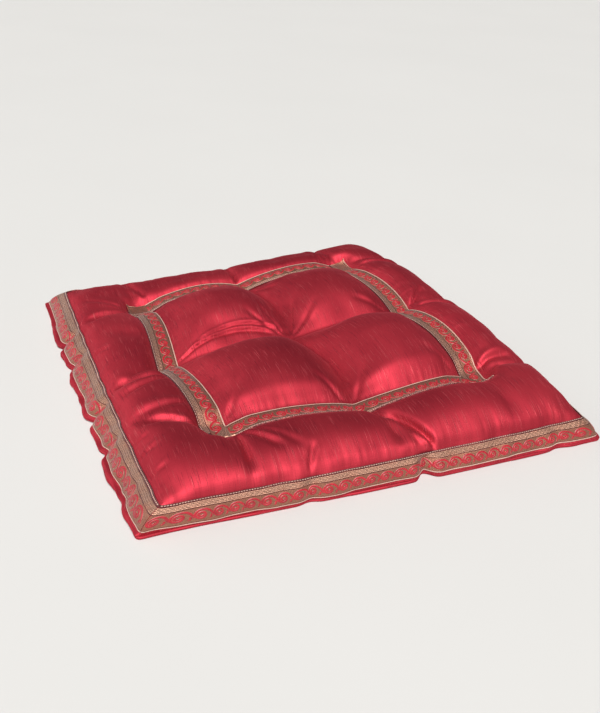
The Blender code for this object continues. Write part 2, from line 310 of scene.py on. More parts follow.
def panel_point(a, b):
    """A point of the top panel, tufted and filled."""
    point = corner_blend(a, b)
    for (col, row), place in TUFTS.items():
        weight = tuft_weight(a, col) * tuft_weight(b, row)
        if weight > 0.0:
            pulled = Vector(place) - corner_blend(col * TUFT_PLACE, row * TUFT_PLACE)
            point += weight * pulled
    for name, (along_a, side, swell, leans, bows, folds) in SIDES.items():
        out, along = to_side(name, a, b)
        border = (out - TUFT_PLACE) / (1.0 - TUFT_PLACE)
        push = swell * (1.0 - along * along) * smooth(border)
        if abs(along) < TUFT_PLACE:
            push += bows[along > 0] * abs(math.sin(math.pi * along / TUFT_PLACE)) * bump(border)
        point += outward(name) * push
    point.z += puff_height(a, b)
    return point


# Side walls

def gather_depth(side_name, along):
    """How far the wall is drawn in at this place along its side."""
    depth = 0.0
    for name, place, half_width, amount in GATHERS:
        if name == side_name:
            depth = max(depth, amount * bump((along - place) / half_width))
    return depth


def wall_shares(row):
    """The shares of height and lean at a row, read from the table."""
    for (top, high, out), (foot, low, more) in zip(WALL_ROWS, WALL_ROWS[1:]):
        if row >= foot - CLOSE:
            t = (top - row) / (top - foot)
            return lerp(high, low, t), lerp(out, more, t)
    return 0.0, WALL_ROWS[-1][2]


def wall_point(a, b, row):
    """A point of the side walls: a and b on the seam, row 1 at the seam and 0 at the foot."""
    seam = panel_point(a, b)
    high, lean_share = wall_shares(row)
    point = Vector((seam.x, seam.y, seam.z * high))
    for name, (along_a, side, swell, leans, bows, folds) in SIDES.items():
        out, along = to_side(name, a, b)
        at_side = smooth((out - EAR_START) / (1.0 - EAR_START))
        at_seam = smooth((out - SEAM_BAND) / (1.0 - SEAM_BAND))
        lean = at_side * lerp(leans[0], leans[1], 0.5 * (along + 1.0))
        drawn = at_seam * gather_depth(name, along)
        point += outward(name) * (lean * lean_share - drawn * min(1.0, 2.0 * lean_share))
    return point


def grid_lines():
    """The sheet's grid, with a line at each tuft and along both edges of the ribbon."""
    stops = (
        (1.0, TUFT_PLACE + RIBBON_HALF, BORDER_CELLS),
        (TUFT_PLACE + RIBBON_HALF, TUFT_PLACE - RIBBON_HALF, RIBBON_CELLS),
        (TUFT_PLACE - RIBBON_HALF, 0.0, INNER_CELLS),
    )
    right = [lerp(start, end, k / cells) for start, end, cells in stops for k in range(cells)]
    return sorted([-v for v in right] + [0.0] + right)


# Trim
RIBBON_LIFT = 0.0003     # between the ribbon's back and the silk
SCROLL_LINE = 0.0131     # the scrolls' middle line, across the ribbon from its ribbed edge
STITCH_LINE = 0.0006     # the stitches' line near the ribbed edge
STITCH_END = 0.002       # length without stitches at a ribbon's ends, in all
STITCH_LENGTH, STITCH_WIDTH, STITCH_HEIGHT = 0.0017, 0.0006, 0.0004
STITCH_SIDES, STITCH_CELLS = 6, 4
SCROLL_SHIFT = 0.3       # the row's middle stands this share of a scroll to one side
SCROLL_TURN, STITCH_TURN = 0.06, 0.10    # how far single ones are turned, in radians
EDGE_CORD = 0.0006       # radius of the cord along the plain edge
CORD_SIDES = 6
TUCK_SHARE = 0.8         # thickness of a laid-over ribbon end, as a share of the ribbon's
WELT = 0.0014            # radius of the silk welt
WELT_OUT = 0.4           # how far its middle stands off the wall, as a share of its radius
WELT_SIDES = 10
WELT_CLOTH = (0.0010, 0.0015)    # flat silk for each of its sides and each of its rings
LOWER_SEAM_ROW = 0.15

# Stage
FLOOR_HALF = 12.0
AIR_COLOUR = (1.0, 0.985, 0.96, 1.0)
KEY_PLACE, KEY_SPREAD = (-0.18, -0.60, 0.78), 30.0
FILL_PLACE, FILL_SPREAD = (-0.75, 0.62, 0.30), 60.0
FOCAL = 42.52            # in millimetres
NEAREST, FURTHEST = 0.01, 50.0
CAMERA_PLACE = (-0.3167, -0.6469, 0.4191)
CAMERA_ROWS = (
    # right, down and ahead
    (0.90716, -0.41617, 0.06210),
    (-0.15767, -0.47305, -0.86681),
    (0.39012, 0.77655, -0.49475),
)


# Materials

SEED = 7

# Noise on the cloth: how fine it is across and along the threads, for each metre
THREADS = (2000.0, 60.0, 1.0)
PICKS = (60.0, 1500.0, 1.0)
PALE_SLUBS = (1900.0, 42.0, 1.0)
DARK_SLUBS = (1500.0, 48.0, 1.0)
CLOUDS = (22.0, 11.0, 1.0)
FLECKS = (900.0, 900.0, 1.0)
WEAR = (90.0, 240.0, 1.0)
STRANDS = (1500.0, 1500.0, 1500.0)
PATCHES = (160.0, 160.0, 160.0)
FLOOR_GRAIN = (3.0, 3.0, 3.0)
FLOOR_SHADE = 0.96

# Depths of the weaves' relief
SILK_RELIEF = 0.00012
BROCADE_RELIEF = 0.00025
THREAD_RELIEF = 0.00015

# The brocade's bands, as shares of the ribbon's width from its ribbed edge, and its weave's pitches
RIBS_START, RIBS_END = 0.085, 0.30
GROUND_START, GROUND_END = 0.325, 0.925
PLAIN_EDGE = 0.955
RIB_PITCH = 0.00115
CORD_PITCH = 0.00075
TWILL_PITCH = 0.0009


class Nodes:
    """Adds nodes to a tree, sets their values and links them in one call each."""

    def __init__(self, tree):
        self.tree = tree

    def link(self, source, target):
        self.tree.links.new(source, target)

    def fill(self, socket, value):
        """Links the socket to another one, or sets it to a plain value."""
        if isinstance(value, bpy.types.NodeSocket):
            self.link(value, socket)
        else:
            socket.default_value = value

    def add(self, kind, settings=None, **values):
        node = self.tree.nodes.new(kind)
        for name, value in (settings or {}).items():
            setattr(node, name, value)
        for name, value in values.items():
            self.fill(node.inputs[name], value)
        return node

    def math(self, operation, *values):
        node = self.add("ShaderNodeMath", {"operation": operation})
        for socket, value in zip(node.inputs, values):
            self.fill(socket, value)
        return node.outputs[0]

    def wave(self, value, length):
        """An even wave from -1 to 1 along a value."""
        return self.math("SINE", self.math("MULTIPLY", value, 2.0 * math.pi / length))

    def noise(self, vector, scale, offset=(0.0, 0.0, 0.0), detail=2.0):
        place = self.add("ShaderNodeMapping", Vector=vector, Scale=scale, Location=offset).outputs[0]
        return self.add("ShaderNodeTexNoise", Vector=place, Scale=1.0, Detail=detail).outputs["Fac"]

    def ramp(self, value, *stops, constant=False):
        """A colour or grey for each place along a value from 0 to 1."""
        node = self.add("ShaderNodeValToRGB", Fac=value)
        node.color_ramp.interpolation = "CONSTANT" if constant else "LINEAR"
        elements = node.color_ramp.elements
        while len(elements) < len(stops):
            elements.new(1.0)
        for element, (place, colour) in zip(elements, stops):
            element.position = place
            element.color = colour if isinstance(colour, tuple) else (colour, colour, colour, 1.0)
        return node.outputs["Color"]

    def mix(self, share, first, second):
        node = self.add("ShaderNodeMix", {"data_type": "RGBA"})
        for index, value in ((0, share), (6, first), (7, second)):
            self.fill(node.inputs[index], value)
        return node.outputs[2]

    def bump(self, height, depth):
        return self.add("ShaderNodeBump", Height=height, Distance=depth, Strength=1.0).outputs[0]


def new_material(name, **values):
    """A material with a shader whose even values are set on its own sockets."""
    material = bpy.data.materials.new(name)
    material.use_nodes = True
    nodes = Nodes(material.node_tree)
    shader = material.node_tree.nodes["Principled BSDF"]
    for key, value in values.items():
        shader.inputs[key.replace("_", " ").title().replace("Ior", "IOR")].default_value = value
    return material, nodes, shader


def rgba(colour):
    return (colour[0], colour[1], colour[2], 1.0)


def silk_material(look):
    """Shot silk with thick pale and dark slubs along its threads."""
    material, nodes, shader = new_material(
        "slubbed_silk", metallic=0.80, anisotropic=0.2,
        sheen_weight=look.sheen, sheen_roughness=0.45, sheen_tint=rgba(look.sheen_tint),
        specular_tint=rgba(look.gloss_tint), specular_ior_level=look.gloss)
    cloth = nodes.add("ShaderNodeUVMap", {"uv_map": "cloth"}).outputs[0]
    threads = nodes.noise(cloth, THREADS, detail=3.0)
    picks = nodes.noise(cloth, PICKS, (3.1, 0.0, 0.0))
    pale = nodes.ramp(nodes.noise(cloth, PALE_SLUBS, (5.0, 2.0, 0.0), 1.0), (0.64, 0.0), (0.71, 1.0))
    dark = nodes.ramp(nodes.noise(cloth, DARK_SLUBS, (41.0, 9.0, 0.0), 1.0), (0.63, 0.0), (0.72, 1.0))
    clouds = nodes.ramp(nodes.noise(cloth, CLOUDS, (2.0, 7.0, 0.0), 3.0), (0.30, 0.45), (0.70, 1.0))
    ground = nodes.mix(clouds, rgba(look.silk_deep), rgba(look.silk))
    for share, most, tint in ((threads, 0.45, look.silk_deep), (dark, 0.60, look.slub_dark),
                              (pale, 0.45, look.slub_pale)):
        ground = nodes.mix(nodes.math("MULTIPLY", share, most), ground, rgba(tint))
    nodes.link(ground, shader.inputs["Base Color"])
    rough = nodes.math("MULTIPLY_ADD", threads, 0.16, look.silk_roughness - 0.08)
    nodes.link(rough, shader.inputs["Roughness"])
    raised = pale
    for part, share in ((threads, 0.6), (picks, 0.4), (dark, -0.5)):
        raised = nodes.math("MULTIPLY_ADD", part, share, raised)
    nodes.link(nodes.bump(raised, SILK_RELIEF), shader.inputs["Normal"])
    return material


def brocade_material(look):
    """Woven ribbon: ribs beside one edge, dark lines, and a gold ground crossed by fine cords."""
    material, nodes, shader = new_material(
        "brocade_ribbon", metallic=0.80, sheen_weight=0.12, sheen_roughness=0.4)
    cloth = nodes.add("ShaderNodeUVMap", {"uv_map": "cloth"}).outputs[0]
    split = nodes.add("ShaderNodeSeparateXYZ", Vector=cloth)
    along, over = split.outputs["X"], split.outputs["Y"]
    across = nodes.math("DIVIDE", over, RIBBON_WIDTH)
    pale, line, shade = rgba(look.ribs), rgba(look.line), rgba(look.ground_dark)
    bands = nodes.ramp(across, (0.0, line), (RIBS_START, pale), (RIBS_END, line),
                       (GROUND_START, rgba(look.ground)), (GROUND_END, line), (PLAIN_EDGE, pale),
                       constant=True)
    in_ribs = nodes.ramp(across, (0.0, 0.0), (RIBS_START, 1.0), (RIBS_END, 0.0), constant=True)
    ribs = nodes.math("MULTIPLY_ADD", nodes.wave(over, RIB_PITCH), 0.5, 0.5)
    cords = nodes.math("MULTIPLY_ADD", nodes.wave(along, CORD_PITCH), 0.5, 0.5)
    twill = nodes.wave(nodes.math("ADD", along, over), TWILL_PITCH)
    fleck = nodes.noise(cloth, FLECKS, (1.0, 4.0, 0.0))
    wear = nodes.noise(cloth, WEAR, (8.0, 3.0, 0.0), 3.0)
    # Painted shade: the hollows between the ribs, where the bump is lowest, are darkened towards the dark
    # ground colour
    hollow = nodes.math("MULTIPLY", nodes.math("SUBTRACT", 1.0, ribs), in_ribs)
    colour = bands
    for share, tint in (
            (nodes.math("MULTIPLY", hollow, 0.42), shade),
            (nodes.math("MULTIPLY", cords, 0.22), shade),
            (nodes.ramp(fleck, (0.45, 0.0), (0.62, 0.35)), shade),
            (nodes.ramp(wear, (0.50, 0.0), (0.72, 0.30)), rgba(look.ground_warm))):
        colour = nodes.mix(share, colour, tint)
    nodes.link(colour, shader.inputs["Base Color"])
    rough = nodes.math("MULTIPLY_ADD", fleck, 0.2, look.ribbon_roughness - 0.1)
    nodes.link(rough, shader.inputs["Roughness"])
    height = nodes.math("MULTIPLY", ribs, in_ribs)
    for part, share in ((cords, 0.45), (twill, 0.12), (fleck, 0.3)):
        height = nodes.math("MULTIPLY_ADD", part, share, height)
    nodes.link(nodes.bump(height, BROCADE_RELIEF), shader.inputs["Normal"])
    return material


def thread_material(name, colour, shade, roughness):
    """Twisted embroidery thread, darkened to the shade between its strands."""
    material, nodes, shader = new_material(name, roughness=roughness,
                                           sheen_weight=0.06, sheen_roughness=0.4)
    where = nodes.add("ShaderNodeTexCoord").outputs["Object"]
    strand = nodes.noise(where, STRANDS)
    patch = nodes.noise(where, PATCHES, (3.0, 1.0, 2.0))
    tone = nodes.math("MULTIPLY_ADD", patch, 0.5, nodes.math("MULTIPLY", strand, 0.5))
    dark = [shade * part for part in colour]
    twist = nodes.mix(nodes.ramp(tone, (0.38, 0.0), (0.70, 1.0)), rgba(colour), rgba(dark))
    nodes.link(twist, shader.inputs["Base Color"])
    nodes.link(nodes.bump(strand, THREAD_RELIEF), shader.inputs["Normal"])
    return material


def floor_material(look):
    """A plain floor with a hardly visible grain."""
    material, nodes, shader = new_material("pale_floor", roughness=0.6)
    where = nodes.add("ShaderNodeTexCoord").outputs["Object"]
    grain = nodes.noise(where, FLOOR_GRAIN, detail=4.0)
    darker = [FLOOR_SHADE * part for part in look.floor]
    nodes.link(nodes.mix(grain, rgba(look.floor), rgba(darker)), shader.inputs["Base Color"])
    return material


# The pad's mesh: a grid of silk, four walls and a flat underside

WALL_CELLS = (2, 2, 2, 3, 3, 2)     # grid cells between the rows of the wall table
UNDER_RINGS = (0.97, 0.80)          # rings of the underside, as shares of its outline
LEVELS = 1                          # subdivisions of the finished silk
STEP = 2 ** LEVELS

SIM_FRAMES = 16
SIM_QUALITY = 5
SIM_MASS = 0.3
SIM_STIFFNESS = 12.0
SHEAR_SHARE = 0.4                   # shear stiffness, as a share of the stiffness
SIM_BENDING = 0.15
BORDER_SWELL = 0.25                 # share of the cap that the border's puffs keep
TUFT_HELD = 0.012                   # the silk is held this near the middle tuft, in sheet units,
FOLD_HELD = 0.007                   # and this near each fold
FOLD_HELD_DEPTH = 0.3               # that is deeper than this
SMOOTH_ROUNDS = 10                  # how often the swelling is evened out between neighbours
SMOOTH_SHARE = 0.6                  # how far each round takes a point towards its neighbours


def wall_rows():
    rows = [1.0]
    for (top, _, _), (foot, _, _), cells in zip(WALL_ROWS, WALL_ROWS[1:], WALL_CELLS):
        rows += [lerp(top, foot, (k + 1) / cells) for k in range(cells)]
    return rows


LINES = grid_lines()
CELLS = len(LINES) - 1
ROWS = wall_rows()


def outline():
    """The seam's grid places, once round from the front left corner towards the right."""
    run = range(CELLS)
    return ([(k, 0) for k in run] + [(CELLS, k) for k in run]
            + [(CELLS - k, CELLS) for k in run] + [(0, CELLS - k) for k in run])


def pad_grid():
    """Points, faces and places of the silk. A place is a point's column, row and wall row."""
    seam = outline()
    points, places = [], []
    for j, b in enumerate(LINES):
        for i, a in enumerate(LINES):
            points.append(panel_point(a, b))
            places.append((i, j, 0))
    top = {(i, j): j * (CELLS + 1) + i for j in range(CELLS + 1) for i in range(CELLS + 1)}
    loops = [[top[place] for place in seam]]
    for k, row in enumerate(ROWS[1:], 1):
        loops.append(range(len(points), len(points) + len(seam)))
        points += [wall_point(LINES[i], LINES[j], row) for i, j in seam]
        places += [(i, j, k) for i, j in seam]
    edge = [points[index] for index in loops[-1]]
    for ring, share in enumerate(UNDER_RINGS, len(ROWS)):
        loops.append(range(len(points), len(points) + len(seam)))
        points += [Vector((point.x * share, point.y * share, 0.0)) for point in edge]
        places += [(i, j, ring) for i, j in seam]
    faces = [(top[i, j], top[i + 1, j], top[i + 1, j + 1], top[i, j + 1])
             for j in range(CELLS) for i in range(CELLS)]
    for upper, lower in zip(loops, loops[1:]):
        for k in range(len(seam)):
            after = (k + 1) % len(seam)
            faces.append((upper[k], lower[k], lower[after], upper[after]))
    return points, faces, places


def new_mesh(name, points, faces):
    mesh = bpy.data.meshes.new(name)
    mesh.from_pydata([tuple(point) for point in points], [], [tuple(face) for face in faces])
    mesh.validate()
    mesh.shade_smooth()
    return mesh


def new_object(name, mesh, *materials):
    obj = bpy.data.objects.new(name, mesh)
    bpy.context.scene.collection.objects.link(obj)
    for material in materials:
        mesh.materials.append(material)
    return obj


def positions(mesh):
    values = np.empty(len(mesh.vertices) * 3, np.float32)
    mesh.vertices.foreach_get("co", values)
    return values.reshape(-1, 3).astype(float)


def normals(mesh):
    values = np.empty(len(mesh.vertices) * 3, np.float32)
    mesh.vertex_normals.foreach_get("vector", values)
    return values.reshape(-1, 3).astype(float)


def set_positions(mesh, points):
    mesh.vertices.foreach_set("co", np.asarray(points, np.float32).ravel())
    mesh.update()


def store_places(mesh, places):
    """Stores each point's column, row and wall row."""
    layer = mesh.attributes.new("place", "FLOAT_VECTOR", "POINT")
    layer.data.foreach_set("vector", np.array(places, np.float32).ravel())


def stored_places(mesh):
    values = np.empty(len(mesh.vertices) * 3, np.float32)
    mesh.attributes["place"].data.foreach_get("vector", values)
    return values.reshape(-1, 3)


def add_uv(mesh, name, places):
    """Stores flat cloth coordinates, in metres, for each point."""
    corners = np.empty(len(mesh.loops), np.int32)
    mesh.loops.foreach_get("vertex_index", corners)
    layer = mesh.uv_layers.new(name=name)
    layer.uv.foreach_set("vector", np.asarray(places, np.float32)[corners].ravel())


def on_ribbon(a, b):
    """Whether a frame ribbon lies on this place of the sheet."""
    return abs(max(abs(a), abs(b)) - TUFT_PLACE) < RIBBON_HALF + CLOSE


def on_fold(a, b):
    """Whether a deep fold between two puffs holds the silk down here."""
    for along_a, value in ((True, a), (False, b)):
        lines, depths = fold_lines(along_a, a, b)
        for line, depth in zip(lines[1:4], depths[1:4]):
            if depth > FOLD_HELD_DEPTH and abs(value - line) < FOLD_HELD:
                return True
    return False


def is_held(a, b):
    """Whether the silk is sewn or drawn down at this place of the sheet."""
    at_seam = max(abs(a), abs(b)) == 1.0
    return on_ribbon(a, b) or at_seam or math.hypot(a, b) < TUFT_HELD or on_fold(a, b)


def even_out(moved, free):
    """Evens out a grid of movements between neighbours, where the silk is free to move."""
    free = free[1:-1, 1:-1, None]
    for number in range(SMOOTH_ROUNDS):
        inner = moved[1:-1, 1:-1]
        around = 0.25 * (moved[2:, 1:-1] + moved[:-2, 1:-1] + moved[1:-1, 2:] + moved[1:-1, :-2])
        moved[1:-1, 1:-1] = np.where(free, lerp(inner, around, SMOOTH_SHARE), inner)
    return moved


def swell(points, faces, pressure, slack, cap):
    """Lets the top panel, held at its ribbons, tufts and seam, fill out under pressure as a cloth.
    No point moves further than the cap. Gives the points' new places."""
    scene = bpy.context.scene
    obj = new_object("filling", new_mesh("filling", points, faces))
    sheet = [(a, b) for b in LINES for a in LINES]
    free = np.array([not is_held(a, b) for a, b in sheet])
    held = obj.vertex_groups.new(name="held")
    held.add(np.flatnonzero(~free).tolist(), 1.0, "REPLACE")
    cloth = obj.modifiers.new("Fill", "CLOTH")
    settings = cloth.settings
    settings.quality = SIM_QUALITY
    settings.mass = SIM_MASS
    settings.tension_stiffness = settings.compression_stiffness = SIM_STIFFNESS
    settings.shear_stiffness = SHEAR_SHARE * SIM_STIFFNESS
    settings.bending_stiffness = SIM_BENDING
    settings.vertex_group_mass = held.name
    settings.use_pressure = True
    settings.uniform_pressure_force = pressure
    settings.shrink_min = -slack
    settings.effector_weights.gravity = 0.0
    cloth.collision_settings.use_collision = False
    cloth.point_cache.frame_start, cloth.point_cache.frame_end = 1, SIM_FRAMES
    start = positions(obj.data)
    for number in range(1, SIM_FRAMES + 1):
        scene.frame_set(number)
    filled = obj.evaluated_get(bpy.context.evaluated_depsgraph_get())
    moved = positions(filled.data) - start
    on_border = np.abs(np.array(sheet)).max(axis=1, keepdims=True) > TUFT_PLACE
    most = np.where(on_border, BORDER_SWELL, 1.0) * cap
    length = np.linalg.norm(moved, axis=1, keepdims=True)
    moved *= np.minimum(1.0, most / np.maximum(length, 1e-9))
    bpy.data.meshes.remove(obj.data)
    scene.frame_set(1)
    square = (CELLS + 1, CELLS + 1)
    moved = even_out(moved.reshape(*square, 3), free.reshape(square))
    return start + moved.reshape(-1, 3)


# Folds and puckers set into the filled silk

SEAM_CREASE = 0.55       # how crisp the top seam stays
WALL_DROP = 0.026        # length of silk down a wall
PUCKER_REACH, REACH_RUN = 0.0075, 0.011      # how far puckers run from a seam, and how soon it changes
PUCKER_DEPTH = 0.0004
PUCKER_LENGTH = 0.0062   # from one pucker to the next
PUCKER_START = 0.0012    # how far from the seam they are deepest
SEAM_WAVE, SEAM_WAVE_RUN = 0.0010, 0.014     # how far the top seam waves, and its length
SEAM_WAVE_REACH = 0.005  # and how far in from the seam
WALL_WAVE, WALL_WAVE_RUN = 0.0024, 0.017     # the same for the walls,
BAND_SWELL, BAND_RUN = 0.0012, 0.011         # and for the plain band beneath the ribbon
BAND_ROW, BAND_REACH = 0.35, 0.13
BAND_LEAST = 0.7         # the band's even swell, as a share of its wave
FRONT_TUCK = 0.0009      # how far the front wall is drawn in beneath its ribbon
TUCK_ROW, TUCK_FALL = 0.52, 0.2
CORNER_REST = 0.06       # the waves fade out this near a corner, in sheet units
SEAM_CLOSE = 0.0001      # places this near the seam are on it
SEAM_REST = 0.004        # and the folds this near the seam
FOLD_FADES = (0.12, 0.35)        # shares of a fold's length over which it starts and ends
FOLD_WIDTHS = (0.55, 1.45)       # its width at both ends, as shares of its own
ROLL_PLACE, ROLL_WIDTH = 1.5, 1.1            # its roll's distance and width, in the same way

# Folds in the silk: ends on the sheet, how far the middle bows to the left of that way, half the
# width, depth of the hollow, height of the roll beside it, and the side the roll lies on
FOLDS = (
    # (a, b), (a, b), bow, half width, depth, roll, side
    ((-0.73, -0.16), (-1.00, -0.16), 0.002, 0.0045, 0.0040, 0.0012, -1),
    ((-0.75, -0.22), (-0.99, -0.30), 0.0, 0.0035, 0.0030, 0.0008, -1),
    ((-0.73, -0.45), (-0.99, -0.47), 0.0, 0.0045, 0.0022, 0.0008, -1),
    ((-0.72, -0.60), (-0.99, -0.53), -0.002, 0.0035, 0.0025, 0.0010, -1),
    ((-0.80, -0.55), (-0.93, -0.50), 0.0, 0.0025, 0.0015, 0.0, -1),
    ((-0.72, 0.60), (-0.99, 0.50), -0.003, 0.0045, 0.0040, 0.0018, -1),
    ((-0.76, 0.66), (-0.96, 0.78), 0.0, 0.0035, 0.0016, 0.0005, 1),
    ((-0.62, 0.02), (0.02, 0.01), 0.012, 0.0019, 0.0026, 0.0015, 1),
    ((-0.50, 0.07), (0.04, 0.03), 0.011, 0.0017, 0.0020, 0.0012, 1),
    ((0.01, 0.03), (0.03, 0.38), 0.002, 0.0026, 0.0028, 0.0010, 1),
    ((0.02, 0.03), (0.13, 0.30), -0.002, 0.0024, 0.0022, 0.0008, -1),
    ((-0.01, 0.03), (-0.08, 0.32), 0.002, 0.0024, 0.0022, 0.0008, 1),
    ((0.03, 0.02), (0.24, 0.20), -0.002, 0.0026, 0.0016, 0.0006, -1),
    ((-0.02, 0.02), (-0.19, 0.22), 0.002, 0.0024, 0.0016, 0.0006, 1),
    ((-0.62, -0.76), (-0.61, -0.97), 0.0, 0.0030, 0.0036, 0.0012, -1),
    ((-0.60, -0.75), (-0.45, -0.91), 0.001, 0.0028, 0.0028, 0.0010, 1),
    ((-0.54, -0.75), (-0.36, -0.93), 0.001, 0.0028, 0.0012, 0.0004, 1),
    ((-0.39, -1.00), (-0.33, -0.89), 0.0, 0.0024, 0.0016, 0.0006, -1),
    ((0.00, -0.73), (0.05, -1.00), 0.003, 0.0040, 0.0040, 0.0012, 1),
    ((0.205, -1.01), (0.03, -0.75), -0.002, 0.0036, 0.0068, 0.0020, 1),
    ((0.02, -0.74), (0.14, -0.97), 0.002, 0.0016, 0.0018, 0.0008, 1),
    ((0.74, 0.03), (0.86, 0.18), 0.0, 0.0035, 0.0030, 0.0014, 1),
    ((0.74, -0.01), (0.96, -0.06), 0.0, 0.0038, 0.0030, 0.0014, 1),
    ((0.72, -0.59), (0.93, -0.54), 0.001, 0.0040, 0.0036, 0.0018, 1),
    ((0.80, -0.63), (0.95, -0.62), 0.0, 0.0035, 0.0018, 0.0006, 1),
    ((0.74, 0.60), (0.97, 0.50), 0.0, 0.0038, 0.0026, 0.0014, 1),
    ((0.60, 0.75), (0.555, 1.00), 0.0, 0.0040, 0.0026, 0.0010, 1),
    ((0.00, 0.73), (-0.03, 1.00), 0.0, 0.0038, 0.0030, 0.0010, 1),
    ((-0.60, 0.75), (-0.68, 1.00), 0.0, 0.0036, 0.0022, 0.0008, 1),
    ((0.03, -0.60), (0.17, -0.42), 0.0, 0.0028, 0.0013, 0.0005, 1),
    ((-0.03, -0.60), (-0.14, -0.44), 0.0, 0.0028, 0.0013, 0.0005, -1),
    ((-0.59, -0.58), (-0.42, -0.38), 0.001, 0.0032, 0.0010, 0.0006, 1),
    ((0.58, -0.58), (0.44, -0.42), -0.001, 0.0032, 0.0010, 0.0006, -1),
    ((0.59, 0.03), (0.40, 0.14), 0.0, 0.0028, 0.0014, 0.0006, -1),
    ((0.03, 0.59), (0.15, 0.44), 0.0, 0.0028, 0.0012, 0.0005, 1),
    ((-0.02, 0.59), (-0.15, 0.46), 0.0, 0.0028, 0.0012, 0.0005, -1),
    ((-1.00, -0.62), (-0.93, -0.62), 0.0, 0.0018, 0.0014, 0.0004, 1),
    ((-1.00, -0.71), (-0.92, -0.72), 0.0, 0.0020, 0.0016, 0.0005, 1),
    ((-1.00, -0.85), (-0.91, -0.84), 0.0, 0.0018, 0.0014, 0.0004, 1),
    ((-1.00, 0.20), (-0.92, 0.16), 0.0, 0.0020, 0.0014, 0.0004, 1),
)


def crease_seam(mesh, places):
    """Keeps the top seam crisp when the silk is made finer."""
    rims = {index for index, (i, j, k) in enumerate(places)
            if k == 0 and (i in (0, CELLS) or j in (0, CELLS))}
    sharp = mesh.attributes.new("crease_edge", "FLOAT", "EDGE")
    for edge in mesh.edges:
        if edge.vertices[0] in rims and edge.vertices[1] in rims:
            sharp.data[edge.index].value = SEAM_CREASE


def apply_modifiers(obj):
    graph = bpy.context.evaluated_depsgraph_get()
    mesh = bpy.data.meshes.new_from_object(obj.evaluated_get(graph), depsgraph=graph)
    obj.modifiers.clear()
    old, obj.data = obj.data, mesh
    mesh.name = old.name
    bpy.data.meshes.remove(old)


def sheet_places(mesh):
    """Each point's a, b and wall row index on the sheet."""
    column, row, k = stored_places(mesh).T
    steps = np.arange(CELLS + 1)
    return np.interp(column, steps, LINES), np.interp(row, steps, LINES), k


def fold_height_at(x, y, fold):
    """How far a fold lifts or lowers each place of the flat cloth."""
    start, end, bow, width, depth, roll, side = fold
    start = np.array(start) * HALF_PANEL
    run = np.array(end) * HALF_PANEL - start
    length = np.hypot(*run)
    ahead = run / length
    t = ((x - start[0]) * ahead[0] + (y - start[1]) * ahead[1]) / length
    inside = np.clip(t, 0.0, 1.0)
    off = -(x - start[0]) * ahead[1] + (y - start[1]) * ahead[0] - bow * 4.0 * inside * (1.0 - inside)
    fade = level_ends(np.clip(np.minimum(t / FOLD_FADES[0], (1.0 - t) / FOLD_FADES[1]), 0.0, 1.0))
    wide = width * lerp(*FOLD_WIDTHS, inside)
    hollow = np.exp(-((off / wide) ** 2))
    beside = np.exp(-(((off - side * ROLL_PLACE * wide) / (ROLL_WIDTH * wide)) ** 2))
    return fade * (roll * beside - depth * hollow)


def value_noise(along, seed):
    """A smooth even run of values from -1 to 1 along a line, the same on every run."""
    table = np.random.default_rng(seed).uniform(-1.0, 1.0, 512)
    cell = np.floor(along).astype(int)
    return lerp(table[cell % 512], table[(cell + 1) % 512], level_ends(along - cell))


def side_run(a, b):
    """How far along its own side each place is, in sheet units, and a number for each side."""
    front_or_back = np.abs(b) >= np.abs(a)
    return np.where(front_or_back, a, b), np.where(front_or_back, np.sign(b), 2.0 * np.sign(a))


# Numbers added to a noise's place, here and below, only give each side a stretch of its own

def puckers(a, b):
    """Small gathers that run out from the seam and from both edges of the frame ribbons."""
    out = np.maximum(np.abs(a), np.abs(b))
    along, side = side_run(a, b)
    run = along * HALF_PANEL
    outer = (out - TUFT_PLACE - RIBBON_HALF) * HALF_PANEL
    inner = (TUFT_PLACE - RIBBON_HALF - out) * HALF_PANEL
    seam = (1.0 - out) * HALF_PANEL
    total = np.zeros_like(a)
    for number, gap in enumerate((outer, inner, seam)):
        change = value_noise(run / REACH_RUN + 40.0 + side * 17.0, SEED + number)
        reach = PUCKER_REACH * (1.0 + 0.7 * change)
        near = np.clip(gap / PUCKER_START, 0.0, 1.0) * np.exp(-np.maximum(gap, 0.0) / reach)
        wave = value_noise(run / (0.5 * PUCKER_LENGTH) + 90.0 + side * 31.0, SEED + 10 + number)
        total += np.where(gap > 0.0, near * wave, 0.0)
    return PUCKER_DEPTH * total


def wall_waves(a, b, row):
    """The uneven swell of the walls, the top seam and the plain band near the foot."""
    along, side = side_run(a, b)
    run = along * HALF_PANEL
    apart = np.clip((1.0 - np.abs(along)) / CORNER_REST, 0.0, 1.0)
    border = np.exp(-(1.0 - np.maximum(np.abs(a), np.abs(b))) * HALF_PANEL / SEAM_WAVE_REACH)
    seam = SEAM_WAVE * border * value_noise(run / SEAM_WAVE_RUN + 60.0 + 13.0 * side, SEED + 20)
    upper = np.clip((row - 0.5) / 0.5, 0.0, 1.0)
    deep = np.sin(math.pi * np.clip((1.0 - row) / (1.0 - LOWER_SEAM_ROW), 0.0, 1.0))
    wall = WALL_WAVE * deep * value_noise(run / WALL_WAVE_RUN + 70.0 + 11.0 * side, SEED + 21)
    band = BAND_SWELL * np.exp(-(((row - BAND_ROW) / BAND_REACH) ** 2))
    band *= BAND_LEAST + value_noise(run / BAND_RUN + 80.0 + 7.0 * side, SEED + 22)
    tuck = -FRONT_TUCK * np.clip((TUCK_ROW - row) / TUCK_FALL, 0.0, 1.0)
    return apart * (seam * upper + wall + np.where(side == -1.0, tuck, band))


def close_underside(mesh):
    """Fills the flat middle of the underside, inside its last ring."""
    shell = bmesh.new()
    shell.from_mesh(mesh)
    rim = [edge for edge in shell.edges if edge.is_boundary]
    bmesh.ops.contextual_create(shell, geom=rim)
    for face in shell.faces:
        face.smooth = True
    shell.to_mesh(mesh)
    shell.free()


